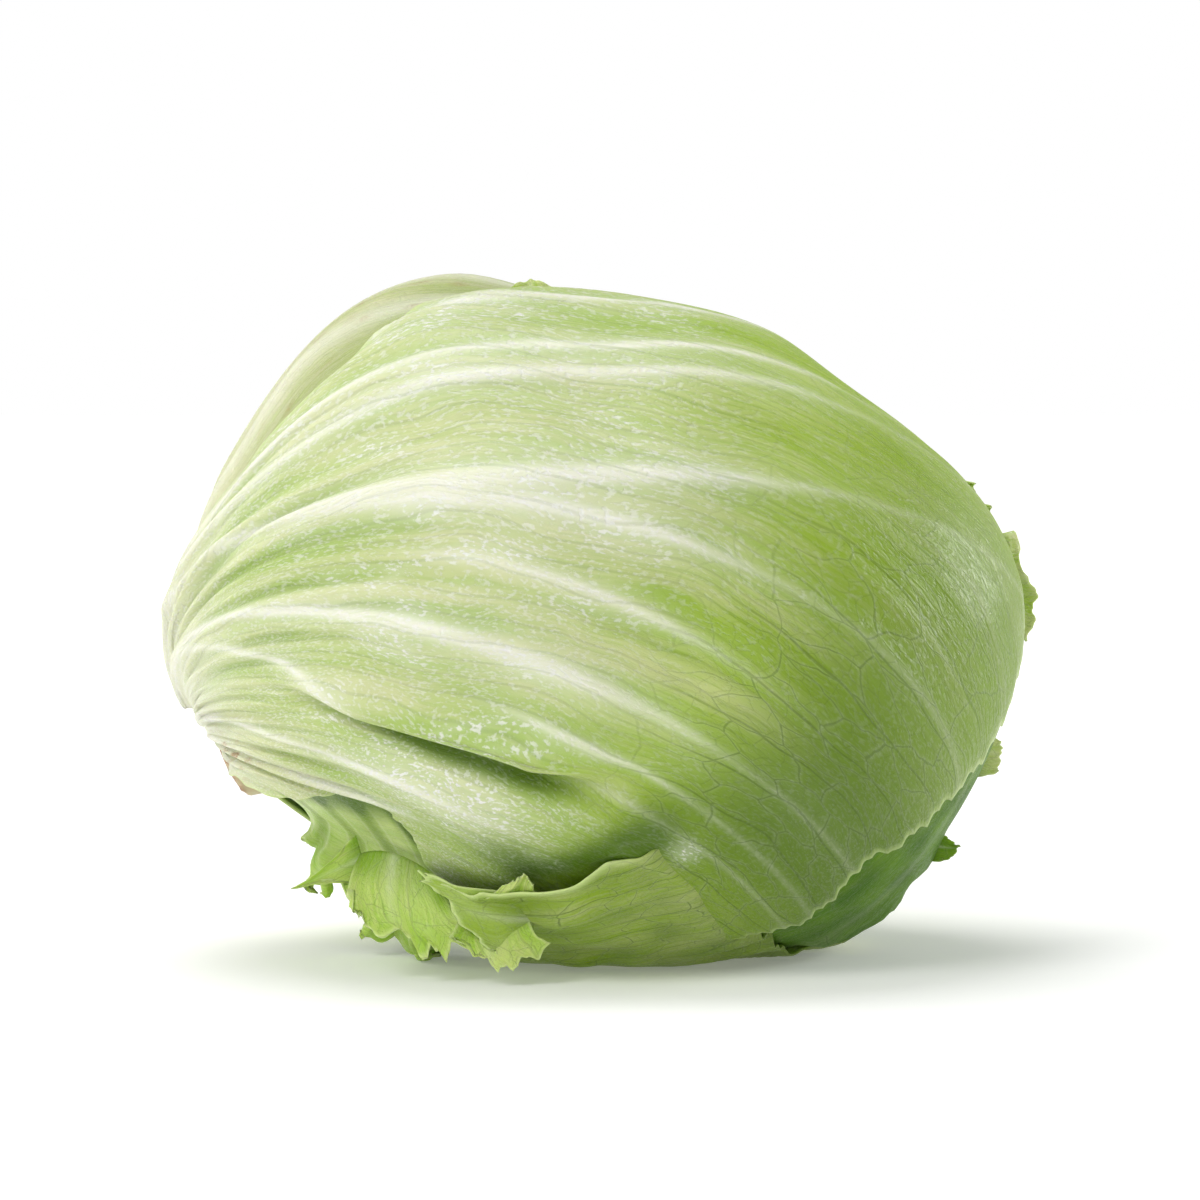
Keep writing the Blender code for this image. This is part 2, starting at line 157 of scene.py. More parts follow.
@dataclass(frozen=True)
class HeadForm:
    """The common body shape, with the same numbers as the solids."""

    centre: tuple[float, float, float] = (0.0, 0.0, 66.5 * MM)
    outline: float = 75.4 * MM
    swells: tuple[tuple[int, float, float], ...] = (
        (1, 1.3 * MM, -75.0),
        (2, 9.0 * MM, -36.0),
        (4, 1.3 * MM, 25.0),
        (5, 0.8 * MM, -130.0),
        (6, 1.8 * MM, 41.0),
    )
    half_depth: float = 74.0 * MM
    soft: float = 1.6 * MM
    pitch: float = 2.0 * MM
    roll: float = 4.0
    butt_place: tuple[float, float] = (-98.0, -17.0)
    front_middle: tuple[float, float] = (5.0, 8.0)
    tip_pole: tuple[float, float] = (150.0, -60.0)
    leaf_start: float = 11.31

    def unit(self, longitude: float, latitude: float) -> Array:
        """Direction for a place on the unrolled sphere, rolled back about X.

        Args:
            longitude: Degrees from the front, to the right.
            latitude: Degrees above the level.

        Returns:
            The unit direction.
        """
        turn = math.radians(longitude)
        rise = math.radians(latitude)
        roll = math.radians(self.roll)
        side = math.sin(turn) * math.cos(rise)
        back = -math.cos(turn) * math.cos(rise)
        up = math.sin(rise)
        return np.array([
            side,
            back * math.cos(roll) + up * math.sin(roll),
            up * math.cos(roll) - back * math.sin(roll),
        ])

    @property
    def butt(self) -> Array:
        """Direction of the cut butt."""
        return self.unit(*self.butt_place)

    @property
    def frontward(self) -> Array:
        """Direction square to the butt's, towards the front.

        Returns:
            The unit direction.
        """
        front = self.unit(*self.front_middle)
        front = front - front.dot(self.butt) * self.butt
        return front / np.linalg.norm(front)

    @property
    def downward(self) -> Array:
        """Direction square to the butt's and the front's, downwards."""
        return np.cross(self.frontward, self.butt)

    def radius(self, direction: Array) -> Array:
        """Distance from the centre to the shape.

        An outline in X and Z, a circle with cosine lobes, is closed as an oval along Y.

        Args:
            direction: Unit directions, with the last axis X, Y, Z.

        Returns:
            The distance for each direction.
        """
        side = np.hypot(direction[..., 0], direction[..., 2])
        turn = np.arctan2(direction[..., 2], direction[..., 0])
        outline = self.outline
        for lobes, height, lead in self.swells:
            outline = outline + height * np.cos(lobes * turn - math.radians(lead))
        return 1.0 / np.sqrt((side / outline) ** 2 + (direction[..., 1] / self.half_depth) ** 2)

    def point(self, direction: Array, depth: Array, rest: float = 0.3 * MM) -> Array:
        """Points in some directions at a depth below the shape, laid on the floor where they would sink.

        Args:
            direction: Unit directions, with the last axis X, Y, Z.
            depth: Depth below the shape, negative above it.
            rest: Least height above the floor.

        Returns:
            The points, with heights turned softly into the floor's.
        """
        point = np.array(self.centre) + direction * (self.radius(direction) - depth)[..., None]
        floor = np.maximum(depth + self.pitch, rest)
        over = point[..., 2] - floor
        turned = (over + self.soft) ** 2 / (4.0 * self.soft)
        low = np.where(over > self.soft, over, turned)
        point[..., 2] = floor + np.where(over < -self.soft, 0.0, low)
        return point

    def polar(self, distance: Array, azimuth: Array) -> Array:
        """Direction about the butt: a turn away from it by the distance, on the side of the azimuth.

        Args:
            distance: Degrees from the butt.
            azimuth: Degrees round the butt.

        Returns:
            The unit directions.
        """
        away = np.radians(distance)
        turn = np.radians(azimuth)
        side = np.cos(turn)[..., None] * self.frontward + np.sin(turn)[..., None] * self.downward
        return np.cos(away)[..., None] * self.butt + np.sin(away)[..., None] * side

    def basis(self, pole: Array) -> tuple[Array, Array]:
        """Two axes square to a pole and to each other.

        Args:
            pole: Unit direction of the pole.

        Returns:
            The two unit directions.
        """
        first = np.cross(pole, [0.3, 0.1, 1.0])
        first = first / np.linalg.norm(first)
        return first, np.cross(pole, first)

    def to_map(self, direction: Array, pole: Array) -> Array:
        """Place of a direction on a flat map seen from a pole, as one complex number."""
        first, second = self.basis(pole)
        return (direction.dot(first) + 1j * direction.dot(second)) / (1.0 - direction.dot(pole))

    def fan_frame(self) -> tuple[Array, complex, complex]:
        """Tip pole, place of the butt, and step to the front's middle, on the flat map.

        Returns:
            The direction of the pole, and the place and the step as complex numbers.
        """
        pole = self.unit(*self.tip_pole)
        base = self.to_map(self.butt, pole)
        return pole, base, self.to_map(self.unit(*self.front_middle), pole) - base

    def fan(self, distance: Array, azimuth: Array) -> Array:
        """Direction on the front leaf: a ray from the butt on the flat map, so an arc on the head.

        Args:
            distance: Degrees along the ray.
            azimuth: Degrees between the ray and the one through the front's middle.

        Returns:
            The unit directions.
        """
        pole, base, ahead = self.fan_frame()
        place = base + ahead * np.tan(np.radians(distance) / 2.0) * np.exp(1j * np.radians(azimuth))
        first, second = self.basis(pole)
        size = np.abs(place) ** 2
        flat = 2.0 * place.real[..., None] * first + 2.0 * place.imag[..., None] * second
        return (flat + (size - 1.0)[..., None] * pole) / (size + 1.0)[..., None]

    def fan_place(self, direction: Array) -> tuple[Array, Array]:
        """Distance and azimuth of a direction on the front leaf's scale.

        Args:
            direction: Unit directions, with the last axis X, Y, Z.

        Returns:
            The distance and the azimuth in degrees.
        """
        pole, base, ahead = self.fan_frame()
        ray = (self.to_map(direction, pole) - base) / ahead
        return np.degrees(2.0 * np.arctan(np.abs(ray))), np.degrees(np.angle(ray))

    def out_to(self, reach: float | Array, along: Array) -> Array:
        """Distance at a share along a leaf, from the leaves' common start to the leaf's reach."""
        return self.leaf_start + (reach - self.leaf_start) * along


FORM = HeadForm()


@dataclass
class Surface:
    """One side of a leaf: points on a grid, each with its place on the leaf and its paint masks."""

    points: Array
    azimuth: Array
    distance: Array
    masks: dict[str, Array] = field(default_factory=dict)
    thickness: Array | float = 1.0 * MM


# Masks of the finish: deep is deep green and also painted shade in hollows, creases and under other leaves; edge is
# painted light through the thin margins.
MASKS = ("green", "deep", "rib", "net", "long", "frost", "brown", "edge")


def grid_faces(rows: int, columns: int) -> Array:
    """Corners of the quads of a grid whose points are counted row by row.

    Args:
        rows: Number of rows of points.
        columns: Number of points in a row.

    Returns:
        The corners, four for each quad.
    """
    corner = np.arange(rows * columns).reshape(rows, columns)
    quads = [corner[:-1, :-1], corner[:-1, 1:], corner[1:, 1:], corner[1:, :-1]]
    return np.stack([part.ravel() for part in quads], axis=1)


def walled_mesh(name: str, surface: Surface) -> bpy.types.Object:
    """Closed thin piece from one side of a leaf.

    The inner side is the outer one moved back along its normals by the thickness, and a strip of
    quads joins the two round the border.

    Args:
        name: Name of the piece.
        surface: The outer side.

    Returns:
        The new object, with its masks as attributes.
    """
    outer = surface.points
    rows, columns = outer.shape[:2]
    normal = np.cross(np.gradient(outer, axis=1), np.gradient(outer, axis=0))
    normal = normal / np.maximum(np.linalg.norm(normal, axis=2, keepdims=True), 1e-12)
    out = np.sign(np.mean(np.sum(normal * (outer - np.array(FORM.centre)), axis=2)))
    normal = normal * out
    thickness = np.broadcast_to(np.asarray(surface.thickness), (rows, columns))
    inner = outer - normal * thickness[..., None]
    quads = grid_faces(rows, columns)
    count = rows * columns
    corner = np.arange(count).reshape(rows, columns)
    border = np.concatenate([corner[0, :-1], corner[:-1, -1], corner[-1, :0:-1], corner[:0:-1, 0]])
    after = np.roll(border, -1)
    rim = np.stack([after, border, border + count, after + count], axis=1)
    faces = np.concatenate([quads, quads[:, ::-1] + count, rim])
    if out > 0:
        faces = faces[:, ::-1]
    mesh = bpy.data.meshes.new(name)
    points = np.concatenate([outer.reshape(-1, 3), inner.reshape(-1, 3)])
    mesh.from_pydata(points.tolist(), [], faces.tolist())
    mesh.shade_smooth()
    place = np.stack([surface.azimuth / 10.0, surface.distance / 10.0, np.zeros((rows, columns))], axis=-1)
    spots = mesh.attributes.new("place", "FLOAT_VECTOR", "POINT")
    spots.data.foreach_set("vector", np.tile(place.reshape(-1, 3), (2, 1)).astype(np.float32).ravel())
    for mask in MASKS:
        values = np.broadcast_to(surface.masks.get(mask, 0.0), (rows, columns)).ravel()
        add_mask(mesh, mask, np.tile(values, 2))
    mesh.update()
    return new_object(name, mesh)


class Paint:
    """Small helper that adds and links shader nodes in one tree."""

    def __init__(self, tree: bpy.types.NodeTree) -> None:
        """Keeps the tree that the nodes go into."""
        self.tree = tree

    @classmethod
    def material(cls, name: str) -> tuple[bpy.types.Material, bpy.types.Node, "Paint"]:
        """New material with its shader, and the helper for its tree.

        Args:
            name: Name of the material.

        Returns:
            The material, the shader and the helper.
        """
        material = bpy.data.materials.new(name)
        material.use_nodes = True
        return material, material.node_tree.nodes["Principled BSDF"], cls(material.node_tree)

    def node(self, kind: str, **settings: object) -> bpy.types.Node:
        """New node.

        Args:
            kind: Kind of the node.
            **settings: Properties of the node.

        Returns:
            The node.
        """
        node = self.tree.nodes.new(kind)
        for key, value in settings.items():
            setattr(node, key, value)
        return node

    def put(self, socket: bpy.types.NodeSocket, value: object) -> None:
        """Links a socket to an input, or sets the input to a plain value.

        Args:
            socket: The input.
            value: A socket, a number, a vector, or a colour without its alpha.
        """
        if isinstance(value, bpy.types.NodeSocket):
            self.tree.links.new(value, socket)
        elif isinstance(value, tuple) and len(value) == 3 and socket.type == "RGBA":
            socket.default_value = (*value, 1.0)
        else:
            socket.default_value = value

    def call(self, kind: str, values: tuple, **settings: object) -> bpy.types.Node:
        """New node of a kind, with values put on its first inputs.

        Args:
            kind: Kind of the node.
            values: Sockets or plain values, in the order of the inputs.
            **settings: Properties of the node.

        Returns:
            The node.
        """
        node = self.node(kind, **settings)
        for socket, value in zip(node.inputs, values):
            self.put(socket, value)
        return node

    def math(self, operation: str, *values: object) -> bpy.types.NodeSocket:
        """Result of a Math node on the values."""
        return self.call("ShaderNodeMath", values, operation=operation).outputs[0]

    def step(self, value: object, low: float, high: float, to: Span = (0.0, 1.0)) -> bpy.types.NodeSocket:
        """Smooth step of a value between two limits, mapped to a range."""
        return self.call("ShaderNodeMapRange", (value, low, high, *to), interpolation_type="SMOOTHSTEP").outputs[0]

    def mix(self, share: object, first: object, second: object) -> bpy.types.NodeSocket:
        """Mix of two colours by a share.

        Args:
            share: Share of the second colour.
            first: First colour.
            second: Second colour.

        Returns:
            The mixed colour.
        """
        node = self.node("ShaderNodeMix", data_type="RGBA")
        self.put(node.inputs["Factor"], share)
        self.put(node.inputs[6], first)
        self.put(node.inputs[7], second)
        return node.outputs[2]

    def mask(self, name: str) -> bpy.types.NodeSocket:
        """Value of one of the piece's own attributes."""
        return self.node("ShaderNodeAttribute", attribute_name=name).outputs["Fac"]

    def scaled(self, vector: object, scale: tuple[float, float, float]) -> bpy.types.NodeSocket:
        """A vector scaled by axis.

        Args:
            vector: Socket of the vector.
            scale: Scale on each axis.

        Returns:
            The scaled vector.
        """
        node = self.node("ShaderNodeMapping")
        self.put(node.inputs["Vector"], vector)
        node.inputs["Scale"].default_value = scale
        return node.outputs[0]

    def noise_node(self, vector: object, scale: float, detail: float) -> bpy.types.Node:
        """Noise texture on a vector.

        Args:
            vector: Socket of the vector.
            scale: Scale of the noise.
            detail: Number of finer layers.

        Returns:
            The node.
        """
        node = self.node("ShaderNodeTexNoise")
        self.put(node.inputs["Vector"], vector)
        node.inputs["Scale"].default_value = scale
        node.inputs["Detail"].default_value = detail
        return node

    def noise(self, vector: object, scale: float, detail: float) -> bpy.types.NodeSocket:
        """Value of a noise texture, near 0.5."""
        return self.noise_node(vector, scale, detail).outputs["Fac"]

    def bump(self, shader: bpy.types.Node, height: object, strength: float) -> None:
        """Bumps the shader's normal by a height that varies.

        Args:
            shader: The shader.
            height: Socket of the height, in shares of the bump's depth.
            strength: Share of the bump that is used.
        """
        bump = self.node("ShaderNodeBump")
        bump.inputs["Strength"].default_value = strength
        bump.inputs["Distance"].default_value = BUMP_DEPTH
        self.put(bump.inputs["Height"], height)
        self.put(shader.inputs["Normal"], bump.outputs[0])


class LeafPattern:
    """Shader group shared by all leaves: veins, streaks and crinkles on a leaf's own places."""

    name: str = "leaf_pattern"
    outputs: tuple[str, ...] = ("Net", "Halo", "Long", "Vein", "Streak", "Fleck", "Blotch", "Crinkle")

    def group(self) -> bpy.types.NodeTree:
        """The group, built once.

        The net is the edge distance of stretched random cells, bent by noise. The streaks are
        noise stretched along the leaf. The crinkles are fine noise that breaks up the gloss.

        Returns:
            The node tree, with one output for each name in outputs.
        """
        if self.name in bpy.data.node_groups:
            return bpy.data.node_groups[self.name]
        tree = bpy.data.node_groups.new(self.name, "ShaderNodeTree")
        tree.interface.new_socket("Place", in_out="INPUT", socket_type="NodeSocketVector")
        for name in self.outputs:
            tree.interface.new_socket(name, in_out="OUTPUT", socket_type="NodeSocketFloat")
        paint = Paint(tree)
        place = paint.node("NodeGroupInput").outputs["Place"]
        end = paint.node("NodeGroupOutput")
        bent = self.shifted(paint, place, (0.8, 0.5, 1.0), 0.6)
        self.net(paint, bent, end)
        self.lengthways(paint, bent, end)
        blotch = paint.noise(paint.scaled(place, (2.4, 1.5, 1.0)), 1.4, 6.0)
        paint.put(end.inputs["Blotch"], paint.step(blotch, 0.45, 0.66))
        grain = paint.node("ShaderNodeTexCoord").outputs["Object"]
        paint.put(end.inputs["Crinkle"], paint.noise(grain, 1300.0, 4.0))
        return tree

    def net(self, paint: Paint, bent: object, end: bpy.types.Node) -> None:
        """Net of veins: lines where the nearest border of coarse or fine random cells is close.

        Args:
            paint: Helper for the group's tree.
            bent: The places, bent by slow noise.
            end: The group's output node.
        """
        rippled = self.shifted(paint, bent, (3.4, 2.2, 1.0), 0.2)
        coarse = self.cells(paint, paint.scaled(rippled, (4.4, 1.7, 1.0)))
        fine = self.cells(paint, paint.scaled(rippled, (9.0, 4.4, 1.0)))
        thick = paint.step(coarse, 0.026, 0.008)
        thin = paint.step(fine, 0.04, 0.012, (0.0, 0.45))
        paint.put(end.inputs["Net"], paint.math("MAXIMUM", thick, thin))
        paint.put(end.inputs["Halo"], paint.step(coarse, 0.10, 0.03))

    def lengthways(self, paint: Paint, bent: object, end: bpy.types.Node) -> None:
        """Marks that run along the leaf: even lines, and streaks and flecks of stretched noise.

        Args:
            paint: Helper for the group's tree.
            bent: The places, bent by slow noise.
            end: The group's output node.
        """
        across = paint.call("ShaderNodeSeparateXYZ", (bent,)).outputs["X"]
        wave = paint.math("PINGPONG", paint.math("MULTIPLY", across, 5.2), 0.5)
        paint.put(end.inputs["Long"], paint.step(wave, 0.09, 0.02))
        wave = paint.math("PINGPONG", paint.math("MULTIPLY_ADD", across, 2.6, 0.3), 0.5)
        paint.put(end.inputs["Vein"], paint.step(wave, 0.034, 0.01))
        broad = paint.noise(paint.scaled(bent, (8.0, 0.55, 1.0)), 1.0, 4.0)
        thin = paint.noise(paint.scaled(bent, (30.0, 1.6, 1.0)), 1.0, 3.0)
        streak = paint.math("MULTIPLY_ADD", thin, 0.5, paint.math("MULTIPLY", broad, 0.5))
        paint.put(end.inputs["Streak"], paint.step(streak, 0.42, 0.58))
        fleck = paint.noise(paint.scaled(bent, (40.0, 17.0, 1.0)), 1.0, 5.0)
        paint.put(end.inputs["Fleck"], paint.step(fleck, 0.47, 0.70))

    def shifted(self, paint: Paint, place: object, scale: tuple, amount: float) -> bpy.types.NodeSocket:
        """The places, shifted by slow noise so that the veins wander.

        Args:
            paint: Helper for the group's tree.
            place: The places.
            scale: Scale of the noise by axis.
            amount: Size of the shift.

        Returns:
            The shifted places.
        """
        shift = paint.node("ShaderNodeVectorMath", operation="SCALE")
        paint.put(shift.inputs[0], paint.noise_node(paint.scaled(place, scale), 1.0, 2.0).outputs["Color"])
        shift.inputs["Scale"].default_value = amount
        return paint.call("ShaderNodeVectorMath", (place, shift.outputs[0]), operation="ADD").outputs[0]

    def cells(self, paint: Paint, vector: object) -> bpy.types.NodeSocket:
        """Distance to the nearest border between random cells of about unit size.

        Args:
            paint: Helper for the group's tree.
            vector: Socket of the places.

        Returns:
            The distance.
        """
        node = paint.node("ShaderNodeTexVoronoi", voronoi_dimensions="2D", feature="DISTANCE_TO_EDGE")
        paint.put(node.inputs["Vector"], vector)
        node.inputs["Scale"].default_value = 1.0
        return node.outputs["Distance"]


@dataclass(frozen=True)
class LeafFinish:
    """Wet fresh leaf: a pale to green ground with ribs, a vein net, frosted flecks and a thin gloss, with painted shade
    in deep green and painted light on the thin edges.
    """

    name: str
    pale: Colour = (0.56, 0.61, 0.25)
    green: Colour = (0.31, 0.47, 0.022)
    # Deep green, which is also the colour of painted shade in hollows, creases and under other leaves.
    deep: Colour = (0.09, 0.175, 0.006)
    rib: Colour = (0.92, 0.92, 0.78)
    vein: Colour = (0.06, 0.12, 0.004)
    frost: Colour = (0.87, 0.89, 0.82)
    brown: Colour = (0.36, 0.17, 0.06)
    # Lighter green of the margins: painted light shining through the thin edge.
    edge: Colour = (0.62, 0.76, 0.30)
    net_strength: float = 0.52
    streak_strength: float = 0.4
    fleck_strength: float = 0.06
    roughness: float = 0.38
    gloss: float = 0.24
    coat: float = 0.06
    bump: float = 0.5
    glow: float = 0.18
    coat_roughness: float = 0.18
    glow_colour: Colour = (0.7, 1.0, 0.35)
    glow_depth: float = 2.5 * MM

    def material(self) -> bpy.types.Material:
        """The material, with its colour, roughness and bump from the leaf's masks and pattern.

        Returns:
            The new material.
        """
        material, shader, paint = Paint.material(self.name)
        place = paint.node("ShaderNodeAttribute", attribute_name="place").outputs["Vector"]
        pattern = paint.node("ShaderNodeGroup", node_tree=LeafPattern().group())
        paint.put(pattern.inputs["Place"], place)
        out = pattern.outputs
        rib = paint.mask("rib")
        net = paint.math("MULTIPLY", out["Net"], paint.mask("net"))
        net = paint.math("MULTIPLY", net, paint.step(rib, 0.1, 0.7, (1.0, 0.25)))
        net = paint.math("MAXIMUM", net, paint.math("MULTIPLY", out["Vein"], paint.mask("net")))
        net = paint.math("MAXIMUM", net, paint.math("MULTIPLY", out["Long"], paint.mask("long")))
        paint.put(shader.inputs["Base Color"], self.colour(paint, out, rib, net))
        rough = paint.step(out["Crinkle"], 0.3, 0.7, (self.roughness - 0.1, self.roughness + 0.12))
        paint.put(shader.inputs["Roughness"], rough)
        height = paint.math("MULTIPLY_ADD", out["Crinkle"], 0.5, paint.math("MULTIPLY", out["Streak"], 0.5))
        height = paint.math("MULTIPLY_ADD", out["Fleck"], 0.8, height)
        paint.bump(shader, paint.math("MULTIPLY_ADD", net, -0.5, height), self.bump)
        shader.inputs["Specular IOR Level"].default_value = self.gloss
        shader.inputs["Coat Weight"].default_value = self.coat
        shader.inputs["Coat Roughness"].default_value = self.coat_roughness
        shader.inputs["Subsurface Weight"].default_value = self.glow
        shader.inputs["Subsurface Radius"].default_value = self.glow_colour
        shader.inputs["Subsurface Scale"].default_value = self.glow_depth
        return material

    def colour(self, paint: Paint, out: object, rib: object, net: object) -> bpy.types.NodeSocket:
        """Ground, then deep green and painted shade, ribs, veins, frosting, brown spots and the painted light of the
        thin edge.

        Args:
            paint: Helper for the material's tree.
            out: Outputs of the leaf pattern.
            rib: The rib mask.
            net: All veins and lines, where the leaf has them.

        Returns:
            The colour.
        """
        streak = paint.math("MULTIPLY", paint.math("ADD", out["Streak"], -0.5), self.streak_strength)
        calm = paint.step(paint.mask("deep"), 0.1, 0.7, (1.0, 0.35))
        swing = paint.math("MULTIPLY_ADD", streak, calm, paint.mask("green"))
        blot = paint.math("MULTIPLY_ADD", out["Blotch"], -0.10, swing)
        ground = paint.mix(paint.math("MAXIMUM", blot, 0.0), self.pale, self.green)
        # Deep green and painted shade, from the deep mask.
        ground = paint.mix(paint.mask("deep"), ground, self.deep)
        streaked = paint.step(out["Streak"], 0.0, 1.0, (0.74, 1.0))
        uneven = paint.math("MULTIPLY", streaked, paint.step(out["Fleck"], 0.0, 0.7, (0.85, 1.0)))
        halo = paint.math("MULTIPLY", out["Halo"], paint.mask("net"))
        thick = paint.step(out["Fleck"], 0.0, 0.8, (0.28, 1.0))
        dry = paint.step(out["Crinkle"], 0.35, 0.6, (0.4, 1.0))
        for first, second, colour in (
            (rib, uneven, self.rib),
            (halo, 0.05, self.rib),
            (net, self.net_strength, self.vein),
            (out["Fleck"], self.fleck_strength, self.frost),
            (paint.mask("frost"), thick, self.frost),
            (paint.mask("brown"), dry, self.brown),
        ):
            ground = paint.mix(paint.math("MULTIPLY", first, second), ground, colour)
        # Painted light through the thin margins, from the edge mask.
        return paint.mix(paint.mask("edge"), ground, self.edge)


@dataclass(frozen=True)
class StemFinish:
    """Cut stem: pale flesh with faint rings, browned and drying towards the rim."""

    name: str = "cut_stem"
    flesh: Colour = (0.62, 0.52, 0.30)
    core: Colour = (0.74, 0.68, 0.44)
    rust: Colour = (0.30, 0.12, 0.045)
    bump: float = 0.5
    glow: float = 0.15
    glow_depth: float = 2.0 * MM

    def material(self) -> bpy.types.Material:
        """The material, from the piece's own masks and places.

        Returns:
            The new material.
        """
        material, shader, paint = Paint.material(self.name)
        place = paint.node("ShaderNodeTexCoord").outputs["Object"]
        rough = paint.noise(place, 260.0, 6.0)
        fine = paint.noise(place, 1400.0, 3.0)
        core = paint.mix(paint.mask("green"), self.core, self.flesh)
        share = paint.math("MULTIPLY", paint.mask("brown"), paint.step(rough, 0.36, 0.6, (0.25, 1.0)))
        paint.put(shader.inputs["Base Color"], paint.mix(share, core, self.rust))
        paint.put(shader.inputs["Roughness"], paint.step(fine, 0.3, 0.7, (0.5, 0.75)))
        paint.bump(shader, paint.math("MULTIPLY_ADD", rough, 0.7, fine), self.bump)
        shader.inputs["Subsurface Weight"].default_value = self.glow
        shader.inputs["Subsurface Scale"].default_value = self.glow_depth
        return material


@dataclass(frozen=True)
class Rib:
    """A rib of a leaf: its azimuth at distances 50, 80 and 110, its size, and where it fades."""

    near: float
    middle: float
    far: float
    width: float = 1.5
    height: float = 0.8 * MM
    start: float = 0.0
    end: float = 140.0

    def azimuth(self, distance: Array) -> Array:
        """Azimuth at a distance: the parabola through the three given ones.

        Args:
            distance: Degrees from the butt.

        Returns:
            The azimuth of the rib's middle.
        """
        x = (np.clip(distance, 30.0, 125.0) - 80.0) / 30.0
        bend = (self.far + self.near) / 2.0 - self.middle
        return self.middle + (self.far - self.near) / 2.0 * x + bend * x * x

    def cover(self, azimuth: Array, distance: Array, spread: float | Array) -> Array:
        """Bump across the rib, some of its widths wide, that fades at the rib's ends."""
        fade = window(distance, self.start - 8.0, self.start + 8.0, self.end - 14.0, self.end + 8.0)
        return hump(azimuth, self.azimuth(distance), self.width * spread) * fade


@dataclass
class Leaf:
    """A leaf of the head that stands for one of the solids."""

    node: str
    slot: str
    finish: LeafFinish
    rows: int = 100
    columns: int = 100
    layer: Layer = Layer.OUTER
    thickness: float = 0.9 * MM
    edge_thickness: float = 0.35 * MM
    edge_width: float = 0.03

    def surface(self, across: Array, along: Array) -> Surface:
        """The leaf's outer side on a grid, with across from -1 to 1 and along from 0 to 1."""
        raise NotImplementedError

    def spread(self) -> tuple[Array, Array]:
        """Even steps across and along the leaf."""
        return np.meshgrid(np.linspace(-1.0, 1.0, self.columns), np.linspace(0.0, 1.0, self.rows))

    def margin(self, across: Array, along: Array) -> Array:
        """Share from 0 inside the leaf to 1 on its free edges, not at its root."""
        side = ease(np.abs(across), 1.0 - self.edge_width, 1.0)
        return np.maximum(side, ease(along, 1.0 - self.edge_width, 1.0))

    def depth(self) -> float:
        """Depth of the leaf's layer below the body shape."""
        return self.layer.value * FORM.pitch

    def build(self) -> bpy.types.Object:
        """Builds the leaf, dresses it and puts it in place of its solid.

        Returns:
            The new piece.
        """
        across, along = self.spread()
        surface = self.surface(across, along)
        margin = self.margin(across, along)
        surface.thickness = self.thickness + (self.edge_thickness - self.thickness) * margin
        piece = walled_mesh(self.node + "_skin", surface)
        piece.data.materials.append(self.finish.material())
        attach(piece, "root")
        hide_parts(self.node)
        return piece


def front_upper_edge(distance: Array) -> Array:
    """Azimuth of the front leaf's upper edge on its own scale."""
    return -20.0 - 13.0 * ease(distance, 60.0, 90.0)


